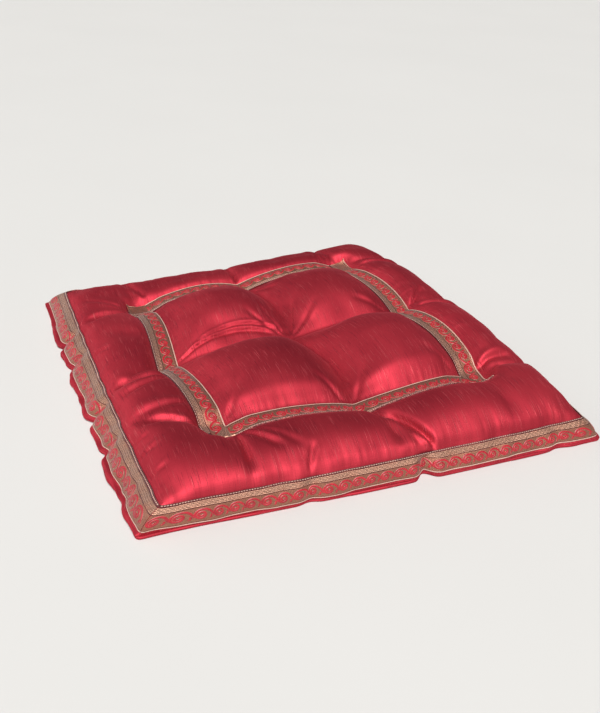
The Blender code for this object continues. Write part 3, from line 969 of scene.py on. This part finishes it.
def finish_silk(mesh):
    """Sets the folds and puckers into the silk and stores its flat cloth coordinates."""
    close_underside(mesh)
    a, b, k = sheet_places(mesh)
    x, y = a * HALF_PANEL, b * HALF_PANEL
    height = np.zeros_like(a)
    for fold in FOLDS:
        height += fold_height_at(x, y, fold)
    out = np.maximum(np.abs(a), np.abs(b))
    ribbon = np.abs(out - TUFT_PLACE) < RIBBON_HALF + CLOSE
    free = np.where(ribbon, 0.0, np.clip((1.0 - out) * HALF_PANEL / SEAM_REST, 0.0, 1.0))
    height = height * free + puckers(a, b)
    row = np.interp(k, np.arange(len(ROWS)), ROWS)
    height[k > 0] = 0.0
    height += wall_waves(a, b, row) * (k <= len(ROWS) - 1)
    set_positions(mesh, positions(mesh) + normals(mesh) * height[:, None])
    drop = np.where(k > 0, (1.0 - row) * WALL_DROP, 0.0)
    flat = np.stack([x + np.sign(a) * drop * (np.abs(a) > 1.0 - SEAM_CLOSE),
                     y + np.sign(b) * drop * (np.abs(b) > 1.0 - SEAM_CLOSE)], axis=1)
    under = k > len(ROWS) - 1
    flat[under] = positions(mesh)[under, :2]
    add_uv(mesh, "cloth", flat)


# Reading the finished silk, so that the trim lies on it

class Skin:
    """The finished silk as two grids, the top panel and the walls, to read places and normals."""

    def __init__(self, mesh):
        places = np.rint(stored_places(mesh) * STEP).astype(int)
        size = CELLS * STEP + 1
        seam_first = [(i * STEP, j * STEP) for i, j in outline()]
        order = {}
        for number, (start, end) in enumerate(zip(seam_first, seam_first[1:] + seam_first[:1])):
            for part in range(STEP):
                i = start[0] + (end[0] - start[0]) * part // STEP
                j = start[1] + (end[1] - start[1]) * part // STEP
                order[i, j] = number * STEP + part
        self.top = np.zeros((size, size, 6))
        self.wall = np.zeros((len(order) + 1, (len(ROWS) - 1) * STEP + 1, 6))
        for (i, j, k), point, normal in zip(places, positions(mesh), normals(mesh)):
            value = (*point, *normal)
            if k == 0:
                self.top[i, j] = value
            if k < self.wall.shape[1] and (i, j) in order:
                self.wall[order[i, j], k] = value
        self.wall[-1] = self.wall[0]

    def read(self, grid, x, y):
        """Place and normal at grid coordinates, passing evenly between the grid's points."""
        x = np.clip(x, 0.0, grid.shape[0] - 1.0)
        y = np.clip(y, 0.0, grid.shape[1] - 1.0)
        left = np.minimum(x.astype(int), grid.shape[0] - 2)
        low = np.minimum(y.astype(int), grid.shape[1] - 2)
        s, t = (x - left)[..., None], (y - low)[..., None]
        value = ((grid[left, low] * (1 - s) + grid[left + 1, low] * s) * (1 - t)
                 + (grid[left, low + 1] * (1 - s) + grid[left + 1, low + 1] * s) * t)
        normal = value[..., 3:] / np.linalg.norm(value[..., 3:], axis=-1, keepdims=True)
        return value[..., :3], normal

    def on_top(self, a, b):
        fine = np.arange(CELLS + 1) * STEP
        return self.read(self.top, np.interp(a, LINES, fine), np.interp(b, LINES, fine))

    def on_wall(self, side_name, along, row):
        """A place on a side's wall: along is -1 to 1 clockwise seen from above, row as in the
        wall table."""
        turn = list(TURNS).index(side_name)
        fine = np.arange(CELLS + 1) * STEP
        run = np.interp(-along, LINES, fine) + turn * CELLS * STEP
        falling = np.array(ROWS[::-1])
        rank = np.arange(len(ROWS))[::-1] * STEP
        return self.read(self.wall, run, np.interp(row, falling, rank))


# Each side's ribbon directions on the sheet: which way it runs and which way is inward
TURNS = {
    # side: ((along a, along b), (inward a, inward b))
    "front": ((1, 0), (0, 1)),
    "right": ((0, 1), (-1, 0)),
    "back": ((-1, 0), (0, -1)),
    "left": ((0, -1), (1, 0)),
}
RIBS_INSIDE = ("right", "back")     # frame ribbons whose ribbed edge is their inner one
RUN_CELLS = 190
ACROSS_CELLS = 14
RIBS_ZONE = (0.0020, 0.0040)        # where the ribs start across the ribbon, and how wide they are


def strip_grid(start, along_cells, across_cells):
    """Grids of how far along a strip each place is, from the start to 1, and how far across it."""
    along = np.linspace(start, 1.0, along_cells + 1)
    return np.meshgrid(along, np.linspace(0.0, 1.0, across_cells + 1), indexing="ij")


def frame_out(across):
    """How far out on the sheet a frame ribbon's places are, from its outer edge inward."""
    return TUFT_PLACE + RIBBON_HALF - across * 2.0 * RIBBON_HALF


def on_frame(skin, side_name, reach, across):
    """Places and normals on a frame ribbon's line, and each one's distance from the ribbed edge."""
    (run_a, run_b), (in_a, in_b) = TURNS[side_name]
    out = frame_out(across)
    point, normal = skin.on_top(reach * run_a - out * in_a, reach * run_b - out * in_b)
    if side_name in RIBS_INSIDE:
        across = across[:, ::-1]
    return point, normal, across * RIBBON_WIDTH


def frame_strip(skin, side_name):
    """Places, normals and flat places of the frame ribbon's middle layer, in rows across it."""
    along, across = strip_grid(-1.0, RUN_CELLS, ACROSS_CELLS)
    reach = along * (frame_out(across) - MITRE_GAP / HALF_PANEL)
    point, normal, width = on_frame(skin, side_name, reach, across)
    return point, normal, np.stack([reach * HALF_PANEL, width], axis=-1)


def wall_strip(skin, side_name):
    """The same for a wall's ribbon."""
    along, across = strip_grid(-1.0, RUN_CELLS, ACROSS_CELLS)
    reach = along * (1.0 - MITRE_GAP / HALF_PANEL)
    point, normal = skin.on_wall(side_name, reach, lerp(1.0, RIBBON_LOW_ROW, across))
    return point, normal, np.stack([reach * HALF_PANEL, across * RIBBON_WIDTH], axis=-1)


def strip_faces(columns, rows, first=0, turned=False):
    faces = []
    for i in range(columns - 1):
        for j in range(rows - 1):
            near, far = first + i * rows + j, first + (i + 1) * rows + j
            face = (near, far, far + 1, near + 1)
            faces.append(face[::-1] if turned else face)
    return faces


# Ends of frame ribbons that are laid over their neighbour at a corner: the ribbon, where the end
# starts and stops at the outer edge and at the inner edge, and whether it shows its ribs
TUCKS = (
    ("front", (-0.722, -0.605), (-0.622, -0.612), True),
    ("back", (0.610, 0.728), (0.610, 0.716), False),
    ("right", (0.610, 0.734), (0.610, 0.722), False),
)
TUCK_CELLS = 12


def tuck_strip(skin, side_name, outer, inner, ribs):
    """Places, normals and flat places of a frame ribbon's end, as for the ribbon itself."""
    share, across = strip_grid(0.0, TUCK_CELLS, TUCK_CELLS)
    reach = lerp(lerp(*outer, share), lerp(*inner, share), across)
    point, normal, width = on_frame(skin, side_name, reach, across)
    flat = (width, RIBS_ZONE[0] + share * RIBS_ZONE[1]) if ribs else (reach * HALF_PANEL, width)
    return point, normal, np.stack(flat, axis=-1)


def ribbon_shell(name, point, normal, flat, lift, thickness):
    """A closed ribbon over the strip: its back at the lift and its face a thickness higher."""
    columns, rows = point.shape[:2]
    back = (point + normal * lift).reshape(-1, 3)
    face = (point + normal * (lift + thickness)).reshape(-1, 3)
    count = len(back)
    faces = strip_faces(columns, rows, count) + strip_faces(columns, rows, 0, True)
    rim = ([i * rows for i in range(columns)]
           + [(columns - 1) * rows + j for j in range(1, rows)]
           + [i * rows + rows - 1 for i in range(columns - 2, -1, -1)]
           + [j for j in range(rows - 2, 0, -1)])
    for low, after in zip(rim, rim[1:] + rim[:1]):
        faces.append((low, after, after + count, low + count))
    mesh = new_mesh(name, np.concatenate([back, face]), faces)
    places = flat.reshape(-1, 2)
    add_uv(mesh, "cloth", np.concatenate([places, places]))
    mesh.set_sharp_from_angle(angle=math.radians(50))
    return mesh


def open_strip(name, point, normal, flat, lift):
    """The ribbon's face alone, which rows of motifs and stitches are laid out on."""
    columns, rows = point.shape[:2]
    mesh = new_mesh(name, (point + normal * lift).reshape(-1, 3), strip_faces(columns, rows))
    add_uv(mesh, "cloth", flat.reshape(-1, 2))
    return mesh


def strips(skin):
    """Every ribbon's strip by its node's name."""
    made = {"frame_ribbon_" + side: frame_strip(skin, side) for side in TURNS}
    made.update({"wall_ribbon_" + side: wall_strip(skin, side) for side in TURNS})
    return made


def ribbon_run(name):
    """Length of a ribbon's outer edge on the flat sheet."""
    return 2.0 * HALF_PANEL * (frame_out(0.0) if name.startswith("frame") else 1.0)


# Rows of motifs on a ribbon

def row_tree():
    """Geometry Nodes: repeats a motif along a strip's cloth coordinates and lays it on the strip."""
    tree = bpy.data.node_groups.new("Row on ribbon", "GeometryNodeTree")
    face = tree.interface
    face.new_socket("Strip", in_out="INPUT", socket_type="NodeSocketGeometry")
    for name, kind in (("Motif", "Object"), ("Count", "Int"), ("Start", "Float"),
                       ("Pitch", "Float"), ("Across", "Float"), ("Jitter", "Float"),
                       ("Thread", "Material"), ("Outline", "Material")):
        face.new_socket(name, in_out="INPUT", socket_type="NodeSocket" + kind)
    face.new_socket("Row", in_out="OUTPUT", socket_type="NodeSocketGeometry")
    nodes = Nodes(tree)
    inlet = nodes.add("NodeGroupInput")
    first = nodes.add("ShaderNodeCombineXYZ", X=inlet.outputs["Start"], Y=inlet.outputs["Across"])
    pace = nodes.add("ShaderNodeCombineXYZ", X=inlet.outputs["Pitch"])
    line = nodes.add("GeometryNodeMeshLine", {"mode": "OFFSET"}, Count=inlet.outputs["Count"])
    nodes.link(first.outputs[0], line.inputs["Start Location"])
    nodes.link(pace.outputs[0], line.inputs["Offset"])
    motif = nodes.add("GeometryNodeObjectInfo", Object=inlet.outputs["Motif"])
    shift = nodes.add("FunctionNodeRandomValue", {"data_type": "FLOAT"}, Seed=SEED)
    nodes.link(nodes.math("MULTIPLY", inlet.outputs["Jitter"], -1.0), shift.inputs[2])
    nodes.link(inlet.outputs["Jitter"], shift.inputs[3])
    turn = nodes.add("ShaderNodeCombineXYZ", Z=shift.outputs[1])
    rows = nodes.add("GeometryNodeInstanceOnPoints", Points=line.outputs[0],
                     Instance=motif.outputs["Geometry"], Rotation=turn.outputs[0])
    real = nodes.add("GeometryNodeRealizeInstances", Geometry=rows.outputs[0])
    place = nodes.add("GeometryNodeInputPosition")
    cloth = nodes.add("GeometryNodeInputNamedAttribute", {"data_type": "FLOAT_VECTOR"}, Name="cloth")
    split = nodes.add("ShaderNodeSeparateXYZ", Vector=place.outputs[0])
    found = []
    for field in (nodes.add("GeometryNodeInputPosition"), nodes.add("GeometryNodeInputNormal")):
        sample = nodes.add("GeometryNodeSampleUVSurface", {"data_type": "FLOAT_VECTOR"})
        nodes.link(inlet.outputs["Strip"], sample.inputs["Mesh"])
        nodes.link(field.outputs[0], sample.inputs["Value"])
        nodes.link(cloth.outputs[0], sample.inputs["Source UV Map"])
        nodes.link(place.outputs[0], sample.inputs["Sample UV"])
        found.append(sample)
    off = nodes.add("FunctionNodeBooleanMath", {"operation": "NOT"})
    nodes.link(found[0].outputs["Is Valid"], off.inputs[0])
    kept = nodes.add("GeometryNodeDeleteGeometry", {"domain": "POINT"},
                     Geometry=real.outputs[0], Selection=off.outputs[0])
    height = nodes.add("ShaderNodeVectorMath", {"operation": "SCALE"},
                       Vector=found[1].outputs["Value"], Scale=split.outputs["Z"])
    laid = nodes.add("ShaderNodeVectorMath", {"operation": "ADD"})
    nodes.link(found[0].outputs["Value"], laid.inputs[0])
    nodes.link(height.outputs[0], laid.inputs[1])
    set_place = nodes.add("GeometryNodeSetPosition", Geometry=kept.outputs[0],
                          Position=laid.outputs[0])
    thread = nodes.add("GeometryNodeSetMaterial", Geometry=set_place.outputs[0],
                       Material=inlet.outputs["Thread"])
    pale = nodes.add("GeometryNodeInputNamedAttribute", {"data_type": "BOOLEAN"}, Name="outline")
    edged = nodes.add("GeometryNodeSetMaterial", Geometry=thread.outputs[0],
                      Selection=pale.outputs[0], Material=inlet.outputs["Outline"])
    outlet = nodes.add("NodeGroupOutput")
    nodes.link(edged.outputs[0], outlet.inputs["Row"])
    return tree


def lay_row(tree, strip, motif, **values):
    """Runs the tree on one strip and gives the row as a plain mesh."""
    host = new_object("row", strip)
    repeat = host.modifiers.new("Row", "NODES")
    repeat.node_group = tree
    values["Motif"] = motif
    for item in tree.interface.items_tree:
        if item.in_out == "INPUT" and item.name in values:
            repeat[item.identifier] = values[item.name]
    graph = bpy.context.evaluated_depsgraph_get()
    mesh = bpy.data.meshes.new_from_object(host.evaluated_get(graph), depsgraph=graph)
    bpy.data.objects.remove(host)
    return mesh


def join(name, meshes):
    """One object of several plain meshes."""
    parts = [new_object(name + "_part", mesh) for mesh in meshes]
    with bpy.context.temp_override(active_object=parts[0], object=parts[0],
                                   selected_objects=parts, selected_editable_objects=parts):
        bpy.ops.object.join()
    parts[0].name = parts[0].data.name = name
    return parts[0]


# Motifs, in millimetres on the flat ribbon

STEM = ((-9.0, 3.2), (-8.1, 1.5), (-7.2, -0.5), (-5.9, -2.4), (-4.0, -3.9), (-1.5, -4.5))
LEAF = ((-5.9, 0.4), (-6.5, 2.0), (-6.0, 3.6), (-4.6, 4.6))
SPIRAL_START = -75.0             # in degrees
SPIRAL_TURNS = 1.75
SPIRAL_RADII = (4.4, 0.9)
SPIRAL_EASE = 0.8                # below 1, the turns lie closer towards the middle
SPIRAL_CELLS = 24
END_WIDTHS = (0.45, 0.85)        # the thread's width at its last two points
SCROLL_PROFILE = (
    # (across, height) of the couched thread
    (-1.05, -0.15), (-0.82, 0.30), (0.82, 0.30), (1.05, -0.15),
)
PROFILE_TOP = 1                  # the stretch of the profile that is the thread, not its outline


def scroll_lines():
    """Centre lines of one running scroll: the spiral with its stem, and the leaf in the gap."""
    spiral = []
    for k in range(SPIRAL_CELLS + 1):
        t = k / SPIRAL_CELLS
        angle = math.radians(SPIRAL_START) + t * SPIRAL_TURNS * 2.0 * math.pi
        radius = lerp(*SPIRAL_RADII, t ** SPIRAL_EASE)
        spiral.append((radius * math.cos(angle), radius * math.sin(angle)))
    return list(STEM) + spiral, LEAF


def couch(line, verts, faces):
    """Adds a raised thread along a line to lists of points and faces."""
    line = np.array(line, float)
    ahead = np.gradient(line, axis=0)
    ahead /= np.linalg.norm(ahead, axis=1, keepdims=True)
    side = np.stack([-ahead[:, 1], ahead[:, 0]], axis=1)
    first, rows = len(verts), len(SCROLL_PROFILE)
    foot = SCROLL_PROFILE[0][1]
    for index, (centre, away) in enumerate(zip(line, side)):
        end = min(index, len(line) - 1 - index)
        narrow = END_WIDTHS[end] if end < len(END_WIDTHS) else 1.0
        for across, height in SCROLL_PROFILE:
            verts.append((*(centre + away * across * narrow), height if end else foot))
    faces += strip_faces(len(line), rows, first)


def scroll_motif():
    verts, faces = [], []
    for line in scroll_lines():
        couch(line, verts, faces)
    mesh = new_mesh("scroll", np.array(verts) * 0.001, faces)
    stretches = len(SCROLL_PROFILE) - 1
    outline_faces = mesh.attributes.new("outline", "BOOLEAN", "FACE")
    outline_faces.data.foreach_set("value", [k % stretches != PROFILE_TOP for k in range(len(faces))])
    return new_object("scroll", mesh)


def stitch_motif():
    """A short round stitch that dips into the cloth at both ends."""
    sides, cells = STITCH_SIDES, STITCH_CELLS
    verts, faces = [], []
    for k in range(cells + 1):
        t = 2.0 * k / cells - 1.0
        arch = math.sqrt(max(0.0, 1.0 - t * t))
        half_width = 0.5 * STITCH_WIDTH * lerp(0.35, 1.0, arch)
        middle = STITCH_HEIGHT * arch - 0.3 * STITCH_WIDTH
        for s in range(sides):
            angle = 2.0 * math.pi * s / sides
            verts.append((0.5 * STITCH_LENGTH * t, half_width * math.cos(angle),
                          middle + 0.5 * STITCH_WIDTH * math.sin(angle)))
    for k in range(cells):
        for s in range(sides):
            after = (s + 1) % sides
            faces.append(((k + 1) * sides + s, (k + 1) * sides + after, k * sides + after, k * sides + s))
    faces.append(tuple(range(sides)))
    faces.append(tuple(range(cells * sides, (cells + 1) * sides))[::-1])
    return new_object("stitch", new_mesh("stitch", verts, faces))


def tube(name, points, radius, sides, closed=False):
    """A round cord along a line of points."""
    line = np.array(points, float)
    if closed:
        ahead = np.roll(line, -1, axis=0) - np.roll(line, 1, axis=0)
    else:
        ahead = np.gradient(line, axis=0)
    ahead /= np.linalg.norm(ahead, axis=1, keepdims=True)
    side = np.cross(ahead, (0.0, 0.0, 1.0))
    side /= np.linalg.norm(side, axis=1, keepdims=True)
    up = np.cross(side, ahead)
    turn = np.linspace(0.0, 2.0 * math.pi, sides, endpoint=False)
    ring = np.cos(turn)[None, :, None] * side[:, None] + np.sin(turn)[None, :, None] * up[:, None]
    verts = (line[:, None] + radius * ring).reshape(-1, 3)
    count = len(line)
    faces = []
    for k in range(count if closed else count - 1):
        after = (k + 1) % count
        for s in range(sides):
            faces.append((k * sides + s, k * sides + (s + 1) % sides,
                          after * sides + (s + 1) % sides, after * sides + s))
    if not closed:
        faces.append(tuple(range(sides))[::-1])
        faces.append(tuple(range((count - 1) * sides, count * sides)))
    return new_mesh(name, verts, faces)


# Sizes and colours that a user would change

class SilkLook(bpy.types.PropertyGroup):
    pressure: FloatProperty(name="Filling", description="How hard the filling presses the silk out",
                            default=3.0, min=0.0, max=20.0)
    slack: FloatProperty(name="Slack", description="How much larger the silk is cut than the pad",
                         default=0.045, min=0.0, max=0.2, subtype="FACTOR")
    reach: FloatProperty(name="Greatest swell", description="How far any point may move as it fills",
                         default=0.010, min=0.0, max=0.03, unit="LENGTH")
    silk: FloatVectorProperty(name="Silk", description="Colour of the silk's raised threads",
                              default=(0.53, 0.042, 0.060), subtype="COLOR")
    silk_deep: FloatVectorProperty(name="Silk, deep", description="Colour of the threads beneath",
                                   default=(0.24, 0.011, 0.023), subtype="COLOR")
    slub_pale: FloatVectorProperty(name="Pale slubs", description="Colour of the thick pale threads",
                                   default=(0.80, 0.16, 0.17), subtype="COLOR")
    slub_dark: FloatVectorProperty(name="Dark slubs", description="Colour of the thick dark threads",
                                   default=(0.16, 0.010, 0.022), subtype="COLOR")
    sheen_tint: FloatVectorProperty(name="Sheen", description="Colour of the silk's sheen",
                                    default=(1.0, 0.28, 0.34), subtype="COLOR")
    gloss_tint: FloatVectorProperty(name="Gloss", description="Colour of the silk's gloss",
                                    default=(1.0, 0.42, 0.46), subtype="COLOR")
    sheen: FloatProperty(name="Sheen weight", description="How much sheen the silk has",
                         default=0.08, min=0.0, max=1.0, subtype="FACTOR")
    gloss: FloatProperty(name="Gloss level", description="How bright the silk's gloss is",
                         default=0.6, min=0.0, max=1.0, subtype="FACTOR")
    silk_roughness: FloatProperty(name="Roughness", description="How broad the silk's gloss is",
                                  default=0.60, min=0.1, max=1.0, subtype="FACTOR")


class RibbonLook(bpy.types.PropertyGroup):
    thickness: FloatProperty(name="Thickness", description="Thickness of the woven ribbon",
                             default=0.0009, min=0.0003, max=0.003, unit="LENGTH")
    pitch: FloatProperty(name="Scroll pitch", description="Length of one running scroll",
                         default=0.0125, min=0.006, max=0.03, unit="LENGTH")
    stitch_pitch: FloatProperty(name="Stitch pitch", description="Length from stitch to stitch",
                                default=0.0021, min=0.001, max=0.01, unit="LENGTH")
    ribbon_roughness: FloatProperty(name="Roughness", description="How broad the ribbon's gloss is",
                                    default=0.45, min=0.1, max=1.0, subtype="FACTOR")
    edge: FloatVectorProperty(name="Edge", description="Colour of the edge threads",
                              default=(0.58, 0.36, 0.29), subtype="COLOR")
    ribs: FloatVectorProperty(name="Ribs", description="Colour of the ribbon's pale ribs",
                              default=(0.54, 0.29, 0.20), subtype="COLOR")
    ground: FloatVectorProperty(name="Ground", description="Colour of the gold ground",
                                default=(0.39, 0.165, 0.105), subtype="COLOR")
    # The dark ground colour is also the painted shade in the hollows between the ribs
    ground_dark: FloatVectorProperty(name="Ground, dark", description="Colour between its threads",
                                     default=(0.14, 0.062, 0.045), subtype="COLOR")
    ground_warm: FloatVectorProperty(name="Ground, warm", description="Colour where it is rubbed",
                                     default=(0.42, 0.14, 0.09), subtype="COLOR")
    line: FloatVectorProperty(name="Line", description="Colour of the dark woven lines",
                              default=(0.11, 0.018, 0.022), subtype="COLOR")
    scroll: FloatVectorProperty(name="Scroll", description="Colour of the scroll threads",
                                default=(0.42, 0.012, 0.024), subtype="COLOR")
    outline: FloatVectorProperty(name="Outline", description="Colour of the scrolls' outline",
                                 default=(0.36, 0.10, 0.075), subtype="COLOR")


class StageLook(bpy.types.PropertyGroup):
    floor: FloatVectorProperty(name="Floor", description="Colour of the plain floor",
                               default=(0.58, 0.57, 0.55), subtype="COLOR")
    key: FloatProperty(name="Key light", description="Strength of the large soft light",
                       default=5.4, min=0.0, max=50.0)
    fill: FloatProperty(name="Fill light", description="Strength of the light opposite",
                        default=1.1, min=0.0, max=50.0)
    air: FloatProperty(name="Air", description="Strength of the even light all round",
                       default=0.08, min=0.0, max=5.0)


class ChairPadLook(bpy.types.PropertyGroup):
    silk: PointerProperty(type=SilkLook)
    ribbon: PointerProperty(type=RibbonLook)
    stage: PointerProperty(type=StageLook)


# Operators

def look_of(context):
    return context.scene.chair_pad


class CHAIRPAD_OT_silk(bpy.types.Operator):
    """Make the filled silk pad"""
    bl_idname = "chair_pad.make_silk"
    bl_label = "Silk pad"

    def execute(self, context):
        look = look_of(context).silk
        points, faces, places = pad_grid()
        count = (CELLS + 1) ** 2
        panel = [face for face in faces if max(face) < count]
        swollen = swell(
            points[:count], panel, look.pressure, look.slack, look.reach)
        points = [tuple(point) for point in swollen] + [tuple(point) for point in points[count:]]
        mesh = new_mesh("silk_pad", points, faces)
        store_places(mesh, places)
        crease_seam(mesh, places)
        pad = new_object("silk_pad", mesh, silk_material(look))
        finer = pad.modifiers.new("Finer", "SUBSURF")
        finer.levels = finer.render_levels = LEVELS
        apply_modifiers(pad)
        finish_silk(pad.data)
        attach(pad, "root")
        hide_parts("pad_body")
        return {"FINISHED"}


class CHAIRPAD_OT_ribbons(bpy.types.Operator):
    """Lay the eight woven ribbons on the pad"""
    bl_idname = "chair_pad.make_ribbons"
    bl_label = "Ribbons"

    def execute(self, context):
        look = look_of(context).ribbon
        skin = Skin(bpy.data.objects["silk_pad"].data)
        brocade = brocade_material(look)
        for name, (point, normal, flat) in strips(skin).items():
            piece = name.replace("ribbon", "braid")
            shells = [ribbon_shell(piece, point, normal, flat, RIBBON_LIFT, look.thickness)]
            for side, *end in TUCKS:
                if name == "frame_ribbon_" + side:
                    shells.append(ribbon_shell(piece, *tuck_strip(skin, side, *end),
                                               RIBBON_LIFT + look.thickness, TUCK_SHARE * look.thickness))
            ribbon = join(piece, shells)
            ribbon.data.materials.append(brocade)
            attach(ribbon, "root")
            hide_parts(name)
        return {"FINISHED"}


class CHAIRPAD_OT_scrolls(bpy.types.Operator):
    """Lay the running scrolls on the ribbons"""
    bl_idname = "chair_pad.make_scrolls"
    bl_label = "Scrolls"

    def execute(self, context):
        look = look_of(context).ribbon
        skin = Skin(bpy.data.objects["silk_pad"].data)
        thread = thread_material("scroll_thread", look.scroll, shade=0.45, roughness=0.42)
        outline_thread = thread_material("outline_thread", look.outline, shade=0.6, roughness=0.45)
        tree, motif = row_tree(), scroll_motif()
        rows = []
        for name, (point, normal, flat) in strips(skin).items():
            count = int(ribbon_run(name) / look.pitch)
            strip = open_strip(name, point, normal, flat, RIBBON_LIFT + look.thickness)
            start = (SCROLL_SHIFT - 0.5 * (count - 1)) * look.pitch
            rows.append(lay_row(tree, strip, motif, Count=count, Pitch=look.pitch, Start=start,
                                Jitter=SCROLL_TURN, Across=SCROLL_LINE,
                                Thread=thread, Outline=outline_thread))
        bpy.data.objects.remove(motif)
        scrolls = join("scroll_threads", rows)
        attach(scrolls, "root")
        return {"FINISHED"}


class CHAIRPAD_OT_edges(bpy.types.Operator):
    """Sew the ribbons' edges with stitches and edge threads"""
    bl_idname = "chair_pad.make_edges"
    bl_label = "Edge threads and stitches"

    def execute(self, context):
        look = look_of(context).ribbon
        skin = Skin(bpy.data.objects["silk_pad"].data)
        thread = thread_material("edge_thread", look.edge, shade=0.6, roughness=0.5)
        tree, stitch = row_tree(), stitch_motif()
        rows, cords = [], []
        for name, (point, normal, flat) in strips(skin).items():
            strip = open_strip(name, point, normal, flat, RIBBON_LIFT + look.thickness)
            count = int((ribbon_run(name) - STITCH_END) / look.stitch_pitch)
            start = -0.5 * (count - 1) * look.stitch_pitch
            rows.append(lay_row(tree, strip, stitch, Count=count, Pitch=look.stitch_pitch, Start=start,
                                Jitter=STITCH_TURN, Across=STITCH_LINE, Thread=thread, Outline=thread))
            plain = 0 if flat[0, 0, 1] > flat[0, -1, 1] else -1
            edge = point[:, plain] + normal[:, plain] * (RIBBON_LIFT + 0.5 * look.thickness)
            cords.append(tube(name + "_cord", edge, EDGE_CORD, CORD_SIDES))
            cords[-1].materials.append(thread)
        bpy.data.objects.remove(stitch)
        stitches = join("edge_stitches", rows)
        edges = join("edge_cords", cords)
        for piece in (stitches, edges):
            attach(piece, "root")
        return {"FINISHED"}


class CHAIRPAD_OT_welt(bpy.types.Operator):
    """Run the silk welt round the lower seam"""
    bl_idname = "chair_pad.make_welt"
    bl_label = "Lower welt"

    def execute(self, context):
        skin = Skin(bpy.data.objects["silk_pad"].data)
        seam = skin.wall[:-1, ROWS.index(LOWER_SEAM_ROW) * STEP]
        line = seam[:, :3] + seam[:, 3:] * WELT_OUT * WELT
        line[:, 2] = np.maximum(line[:, 2], WELT)
        welt = new_object("welt", tube("welt", line, WELT, WELT_SIDES, closed=True),
                          bpy.data.materials["slubbed_silk"])
        ring, side = np.divmod(np.arange(len(welt.data.vertices)), WELT_SIDES)
        add_uv(welt.data, "cloth", np.stack([side, ring], axis=1) * WELT_CLOTH)
        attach(welt, "root")
        return {"FINISHED"}


class CHAIRPAD_OT_stage(bpy.types.Operator):
    """Set up the floor, the lights and the camera"""
    bl_idname = "chair_pad.make_stage"
    bl_label = "Stage"

    def execute(self, context):
        look = look_of(context).stage
        scene = context.scene
        corners = [(x * FLOOR_HALF, y * FLOOR_HALF, 0.0) for x, y in ((-1, -1), (1, -1), (1, 1), (-1, 1))]
        floor = new_object("floor", new_mesh("floor", corners, [(0, 1, 2, 3)]), floor_material(look))
        add_light("key", KEY_PLACE, KEY_SPREAD, look.key)
        add_light("fill", FILL_PLACE, FILL_SPREAD, look.fill)
        scene.world = bpy.data.worlds.new("air")
        scene.world.use_nodes = True
        air = scene.world.node_tree.nodes["Background"]
        air.inputs["Color"].default_value = AIR_COLOUR
        air.inputs["Strength"].default_value = look.air
        scene.view_settings.view_transform = "Standard"
        lens = bpy.data.cameras.new("camera")
        lens.lens = FOCAL
        lens.clip_start, lens.clip_end = NEAREST, FURTHEST
        camera = bpy.data.objects.new("camera", lens)
        scene.collection.objects.link(camera)
        right, down, ahead = (Vector(row) for row in CAMERA_ROWS)
        turn = Matrix((right, -down, -ahead)).transposed()
        camera.matrix_world = Matrix.Translation(CAMERA_PLACE) @ turn.to_4x4()
        scene.camera = camera
        return {"FINISHED"}


def add_light(name, place, spread, strength):
    data = bpy.data.lights.new(name, "SUN")
    data.angle, data.energy = math.radians(spread), strength
    light = bpy.data.objects.new(name, data)
    light.location = place
    light.rotation_euler = (-Vector(place)).to_track_quat("-Z", "Y").to_euler()
    bpy.context.scene.collection.objects.link(light)


class CHAIRPAD_PT_sidebar(bpy.types.Panel):
    """The chair pad's sizes, colours and steps"""
    bl_label = "Chair pad"
    bl_idname = "CHAIRPAD_PT_sidebar"
    bl_space_type = "VIEW_3D"
    bl_region_type = "UI"
    bl_category = "Chair pad"

    def draw(self, context):
        look = look_of(context)
        for group, steps in ((look.silk, STEPS[:1]), (look.ribbon, STEPS[1:5]), (look.stage, STEPS[5:])):
            box = self.layout.box()
            for name in group.__annotations__:
                box.prop(group, name)
            for step in steps:
                box.operator(step.bl_idname)


STEPS = (CHAIRPAD_OT_silk, CHAIRPAD_OT_ribbons, CHAIRPAD_OT_scrolls, CHAIRPAD_OT_edges,
         CHAIRPAD_OT_welt, CHAIRPAD_OT_stage)
CLASSES = (SilkLook, RibbonLook, StageLook, ChairPadLook, *STEPS, CHAIRPAD_PT_sidebar)


def register():
    for cls in CLASSES:
        bpy.utils.register_class(cls)
    bpy.types.Scene.chair_pad = PointerProperty(type=ChairPadLook)


def unregister():
    del bpy.types.Scene.chair_pad
    for cls in reversed(CLASSES):
        bpy.utils.unregister_class(cls)


def main():
    register()
    for step in (bpy.ops.chair_pad.make_silk, bpy.ops.chair_pad.make_ribbons,
                 bpy.ops.chair_pad.make_scrolls, bpy.ops.chair_pad.make_edges,
                 bpy.ops.chair_pad.make_welt, bpy.ops.chair_pad.make_stage):
        step()


if __name__ == "__main__":
    main()
